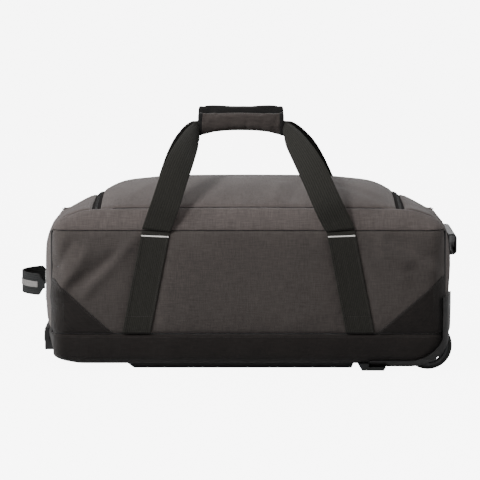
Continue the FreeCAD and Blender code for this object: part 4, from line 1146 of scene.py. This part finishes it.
def move_points(obj, points):
    obj.data.vertices.foreach_set("co", points.astype(np.float32).ravel())
    obj.data.update()


# wrinkles round the grip: place from its middle, depth, width
WRINKLES = ((-0.052, 0.0009, 0.003), (-0.020, 0.0011, 0.003), (0.007, 0.0022, 0.0026),
            (0.034, 0.0012, 0.0035), (0.052, 0.0007, 0.003))


def grips():
    half = (GRIP_HIGH.x - GRIP_LOW.x) / 2
    middle = (GRIP_LOW.x + GRIP_HIGH.x) / 2 - MID_X
    left, right = middle - half, middle + half
    thick = GRIP_HIGH.y - GRIP_LOW.y

    def arched(level, rise):
        return lambda x: level + rise * (1 - ((x - middle) / half) ** 2)

    foot, top = GRIP_LOW.z, GRIP_HIGH.z
    for where, face in FACES:
        body = where + "_handle"
        outer = sleeve("grip_sleeve_" + where, arched(foot + 0.0008, 0.0085), arched(top - 0.0150, 0.003),
                       face * (thick * 0.55), thick * 0.42, left + 0.004, right - 0.004, grip_cloth,
                       power=2.5)
        points = np.array([v.co for v in outer.data.vertices])
        up = points[:, 2] - foot
        pinch = 0
        for place, depth, wide in WRINKLES:
            lean = place + middle + MID_X + up * 0.12
            low_part = np.clip(1.2 - up / 0.036, 0.1, 1)
            pinch = pinch + depth * np.exp(-((points[:, 0] - lean) / wide) ** 2) * low_part
        points[:, 1] -= face * pinch * np.clip(np.abs(points[:, 1]) / (thick * 0.9), 0, 1)
        move_points(outer, points)
        settled_piece(outer, body, ["handle_grip_" + where])
        inner = sleeve("grip_wrap_" + where, arched(foot + 0.0045, 0.0085), arched(top - 0.0038, 0.0020),
                       face * (thick * 0.24 + 0.0004), thick * 0.23, left + 0.0005, right - 0.0005,
                       grip_black, power=3.0)
        settled_piece(inner, body, [])
        for hand, start in (("left", left + 0.0002), ("right", right - 0.0088)):
            binding = sleeve("grip_binding_%s_%s" % (where, hand), arched(foot + 0.0002, 0.0085),
                             arched(top - 0.0142, 0.003), face * (thick * 0.54), thick * 0.45, start,
                             start + 0.0086, grip_black, stations=9, soft=False)
            settled_piece(binding, body, [])


# ---------------------------------------------------------------- stitches, teeth and ribs
def repeat_tree(name, kind):
    """Node tree that repeats a bead or a block along lines, turned to the lines' 'up' attribute."""
    tree = bpy.data.node_groups.new(name, "GeometryNodeTree")
    face = tree.interface
    face.new_socket(name="Lines", in_out="INPUT", socket_type="NodeSocketGeometry")
    for label in ("Pitch", "Length", "Width", "Height", "Turn"):
        face.new_socket(name=label, in_out="INPUT", socket_type="NodeSocketFloat")
    face.new_socket(name="Finish", in_out="INPUT", socket_type="NodeSocketMaterial")
    face.new_socket(name="Pieces", in_out="OUTPUT", socket_type="NodeSocketGeometry")
    given = tree.nodes.new("NodeGroupInput").outputs
    result = tree.nodes.new("NodeGroupOutput")

    def node(kind, links=(), **settings):
        made = tree.nodes.new(kind)
        for key, value in settings.items():
            setattr(made, key, value)
        for key, socket in links:
            if isinstance(socket, bpy.types.NodeSocket):
                tree.links.new(socket, made.inputs[key])
            else:
                made.inputs[key].default_value = socket
        return made

    curve = node("GeometryNodeMeshToCurve", [("Mesh", given["Lines"])])
    spaced = node("GeometryNodeResampleCurve", [("Curve", curve.outputs[0]), ("Length", given["Pitch"])],
                  mode="LENGTH")
    up = node("GeometryNodeInputNamedAttribute", [("Name", "up")], data_type="FLOAT_VECTOR")
    tangent = node("GeometryNodeInputTangent")
    upright = node("FunctionNodeAlignRotationToVector", [("Vector", up.outputs["Attribute"])], axis="Z")
    turned = node("FunctionNodeAlignRotationToVector",
                  [("Rotation", upright.outputs[0]), ("Vector", tangent.outputs[0])],
                  axis="X", pivot_axis="Z")
    lean = node("ShaderNodeCombineXYZ", [("Z", given["Turn"])])
    by = node("FunctionNodeEulerToRotation", [(0, lean.outputs[0])])
    rotation = node("FunctionNodeRotateRotation",
                    [("Rotation", turned.outputs[0]), ("Rotate By", by.outputs[0])], rotation_space="LOCAL")
    if kind == "bead":
        shape = node("GeometryNodeMeshUVSphere", [("Segments", 8), ("Rings", 5), ("Radius", 0.5)])
    else:
        shape = node("GeometryNodeMeshCube", [("Size", (1, 1, 1))])
    size = node("ShaderNodeCombineXYZ",
                [("X", given["Length"]), ("Y", given["Width"]), ("Z", given["Height"])])
    copies = node("GeometryNodeInstanceOnPoints",
                  [("Points", spaced.outputs[0]), ("Instance", shape.outputs[0]),
                   ("Rotation", rotation.outputs[0]), ("Scale", size.outputs[0])])
    real = node("GeometryNodeRealizeInstances", [("Geometry", copies.outputs[0])])
    smooth = node("GeometryNodeSetShadeSmooth",
                  [("Geometry", real.outputs[0]), ("Shade Smooth", kind == "bead")])
    painted = node("GeometryNodeSetMaterial",
                   [("Geometry", smooth.outputs[0]), ("Material", given["Finish"])])
    tree.links.new(painted.outputs[0], result.inputs[0])
    return tree


BEADS = repeat_tree("beads_along_lines", "bead")
BLOCKS = repeat_tree("blocks_along_lines", "block")


def repeated(name, lines, finish, body, pitch, size, tree=BEADS, turn=0.0):
    """One plain mesh of beads or blocks along several lines, each line a pair of points and normals."""
    points, ups = (np.concatenate(part) for part in zip(*lines))
    edges, start = [], 0
    for line, _ in lines:
        edges += [(start + i, start + i + 1) for i in range(len(line) - 1)]
        start += len(line)
    mesh = bpy.data.meshes.new(name)
    mesh.from_pydata([tuple(p) for p in points], edges, [])
    normals = mesh.attributes.new("up", "FLOAT_VECTOR", "POINT")
    normals.data.foreach_set("vector", ups.astype(np.float32).ravel())
    obj = link(name, mesh)
    repeat = obj.modifiers.new("repeat", "NODES")
    repeat.node_group = tree
    values = {"Pitch": pitch, "Length": size[0], "Width": size[1], "Height": size[2], "Turn": turn,
              "Finish": finish}
    for item in tree.interface.items_tree:
        if item.name in values:
            repeat[item.identifier] = values[item.name]
    obj = applied(obj)
    return settled_piece(obj, body, [])


STITCH = (0.0024, 0.00062, 0.00050)
STITCH_PITCH = 0.0034


def on_panel(panel, s, t, lift=0.0001):
    s, t = np.broadcast_arrays(np.asarray(s, float), np.asarray(t, float))
    return panel.at(s, t, lift)


def sewn(name, lines, finish, body):
    repeated(name, lines, finish, body, STITCH_PITCH, STITCH)


def lid_stitches(lid_panel):
    lines = []
    for inset in (HEM_EDGE, HEM):
        x = LID_HALF - inset
        far = LID_FAR - inset
        for column in (-x, x):
            lines.append(on_panel(lid_panel, column, np.linspace(-SEAM_Y + 0.004, far, 70)))
        lines.append(on_panel(lid_panel, np.linspace(-x, x, 120), far))
    sewn("lid_stitches", lines, thread_grey, "lid")


def shell_stitches(made):
    lines = []
    y = np.linspace(-SEAM_Y + 0.005, SEAM_Y - 0.005, 80)
    for hand, _ in SIDES:
        for t in (0.055, 0.13):
            lines.append(on_panel(made["border_" + hand], t, y))
    for where, _ in FACES:
        lines.append(on_panel(made["upper_" + where], np.linspace(-1.03, 1.03, 160), 0.90))
    for hand, _ in SIDES:
        lines.append(on_panel(made[hand], np.linspace(-0.96, 0.96, 80), END_TOP - 0.006))
    sewn("shell_stitches", lines, thread_grey, "bag")


def strap_row(panel, face, x, z):
    """Points and normals on the face of a strap tail."""
    points, normal = on_face(panel, face, x, z, WEB_THICK + 0.0004)
    normal[:] = (0, face, 0)
    return points, normal


def cross_row(panel, face, side, z, inset, lean=0.0):
    """Row straight across a strap tail at height z, its ends inset from the edges."""
    share = np.linspace(-1, 1, 16)
    return strap_row(panel, face, side * strap_line(z) + share * (WEB_WIDTH / 2 - inset), z + lean * share)


def dark_stitches(made):
    """Rows on the band, the corner patches and the strap tails."""
    band_row = BAND_TOP - 0.0050
    lines = [on_panel(made["band_" + where], np.linspace(-1.9, 1.9, 200), band_row) for where, _ in FACES]
    lines.append(on_panel(made["band_left"], np.linspace(-0.97, 0.97, 80), band_row))
    for where, face in FACES:
        panel = made[where]
        for _, side in SIDES:
            z = np.linspace(BAND_TOP + 0.003, BAND_TOP + PATCH_RISE[side] - 0.012, 60)
            for inset in (0.0022, 0.0050):
                lines.append(on_panel(panel, side * round_column(patch_edge(side, z) + inset), z, 0.0014))
            z = np.linspace(BAND_TOP + 0.003, PANEL_TOP - 0.012, 60)
            for edge in (-1, 1):
                lines.append(strap_row(panel, face, side * strap_line(z) + edge * (WEB_WIDTH / 2 - 0.003), z))
            for height in (0.004, 0.030):
                lines.append(cross_row(panel, face, side, BAND_TOP + height, 0.003))
    sewn("dark_stitches", lines, thread_dark, "bag")


def bar_tacks(made):
    """White tacks across the straps, where their free parts begin."""
    lines = [cross_row(made[where], face, side, PANEL_TOP - 0.0095, 0.0016, 0.0009 * side)
             for where, face in FACES for _, side in SIDES]
    repeated("bar_tacks", lines, thread_white, "bag", 0.0007, (0.0009, 0.0030, 0.0011), turn=0.30)


def zip_chain():
    up = np.array((0.0, 0.0, 1.0))
    for name, side, body in (("zip_teeth_fixed", 1, "bag"), ("zip_teeth_lid", -1, "lid")):
        line = zip_line(side * 0.0011, 0.0010)
        repeated(name, [(line, np.tile(up, (len(line), 1)))], zip_teeth_plastic, body, 0.0015,
                 (0.00095, 0.0021, 0.0014), turn=0.12 * side)


def anchor_ribs():
    """Raised ribs across the two rubber tabs that hold the end handle."""
    lines = []
    out = np.array((-1.0, 0.0, 0.0))
    middle = (ANCHOR_LOW.z + ANCHOR_HIGH.z) / 2
    for low, high in ((ANCHOR_LOW.z + 0.003, middle - 0.011), (middle + 0.011, ANCHOR_HIGH.z - 0.003)):
        z = np.linspace(low, high, 8)
        for y in (ANCHOR_LOW.y + 0.007, ANCHOR_HIGH.y - 0.007):
            line = np.stack([np.full(8, ANCHOR_LOW.x - 0.0001), np.full(8, y), z], axis=1)
            lines.append((line, np.tile(out, (8, 1))))
    repeated("anchor_ribs", lines, anchor_rubber, "bag", 0.0037, (0.0016, 0.0115, 0.0012),
             tree=BLOCKS)


# ---------------------------------------------------------------- studio
AMBIENT = 0.34              # light from all round
BACKDROP = 9.0              # brightness of the plain backdrop
FLOOR_SHARE = 0.8           # brightness of the floor against the backdrop's
LAMPS = (                   # name, place, size and power
    ("key", (-1.3, -1.5, 2.0), 0.6, 66), ("front", (0.2, -4.0, 2.6), 2.2, 18),
    ("left_rim", (-2.4, -0.9, 1.1), 1.0, 55), ("right_rim", (2.8, -0.6, 1.6), 1.2, 30),
    ("behind", (0.3, 3.4, 2.2), 2.4, 30),
)


def aimed(obj, target):
    obj.rotation_euler = (target - obj.location).to_track_quat("-Z", "Y").to_euler()
    bpy.context.scene.collection.objects.link(obj)


def studio():
    scene = bpy.context.scene
    bpy.ops.mesh.primitive_plane_add(size=40, location=(0, 0, -0.0004))
    floor = bpy.context.object
    floor.name = "studio_floor"
    pale, tree, shader = blank("pale_floor", 0.75)
    shader.inputs["Base Color"].default_value = (0.35, 0.35, 0.35, 1)
    shader.inputs["Emission Color"].default_value = (1, 1, 1, 1)
    seen = shades(tree, "ShaderNodeLightPath").outputs["Is Camera Ray"]
    glow = times(tree, seen, BACKDROP * FLOOR_SHARE)
    tree.links.new(glow, shader.inputs["Emission Strength"])
    floor.data.materials.append(pale)
    world = bpy.data.worlds.new("studio")
    world.use_nodes = True
    sky = world.node_tree
    seen = shades(sky, "ShaderNodeLightPath").outputs["Is Camera Ray"]
    strength = shades(sky, "ShaderNodeMapRange", Value=seen, To_Min=AMBIENT, To_Max=BACKDROP).outputs[0]
    sky.links.new(strength, sky.nodes["Background"].inputs["Strength"])
    sky.nodes["Background"].inputs["Color"].default_value = (1, 1, 1, 1)
    scene.world = world
    target = Vector((0.0, 0, 0.2))
    for name, place, size, power in LAMPS:
        data = bpy.data.lights.new(name, "AREA")
        data.size = size
        data.energy = power
        lamp = bpy.data.objects.new(name, data)
        lamp.location = place
        aimed(lamp, target)
    data = bpy.data.cameras.new("camera")
    data.sensor_width = 36
    data.lens = 212
    camera = bpy.data.objects.new("camera", data)
    aim = Vector((MID_X - 0.0136, 0, 0.1986))
    tilt = math.radians(7)
    distance = 4.8
    camera.location = aim + distance * Vector((0, -math.cos(tilt), math.sin(tilt)))
    aimed(camera, aim)
    scene.camera = camera


# ---------------------------------------------------------------- making
studio()
finish_solids()
panels = shell()
lid_surface = lid()
lining()
zip_tapes()
corner_patches(panels)
edge_piping()
strap_tails(panels)
carry_straps()
end_handle()
grips()
lid_stitches(lid_surface)
shell_stitches(panels)
dark_stitches(panels)
bar_tacks(panels)
zip_chain()
anchor_ribs()
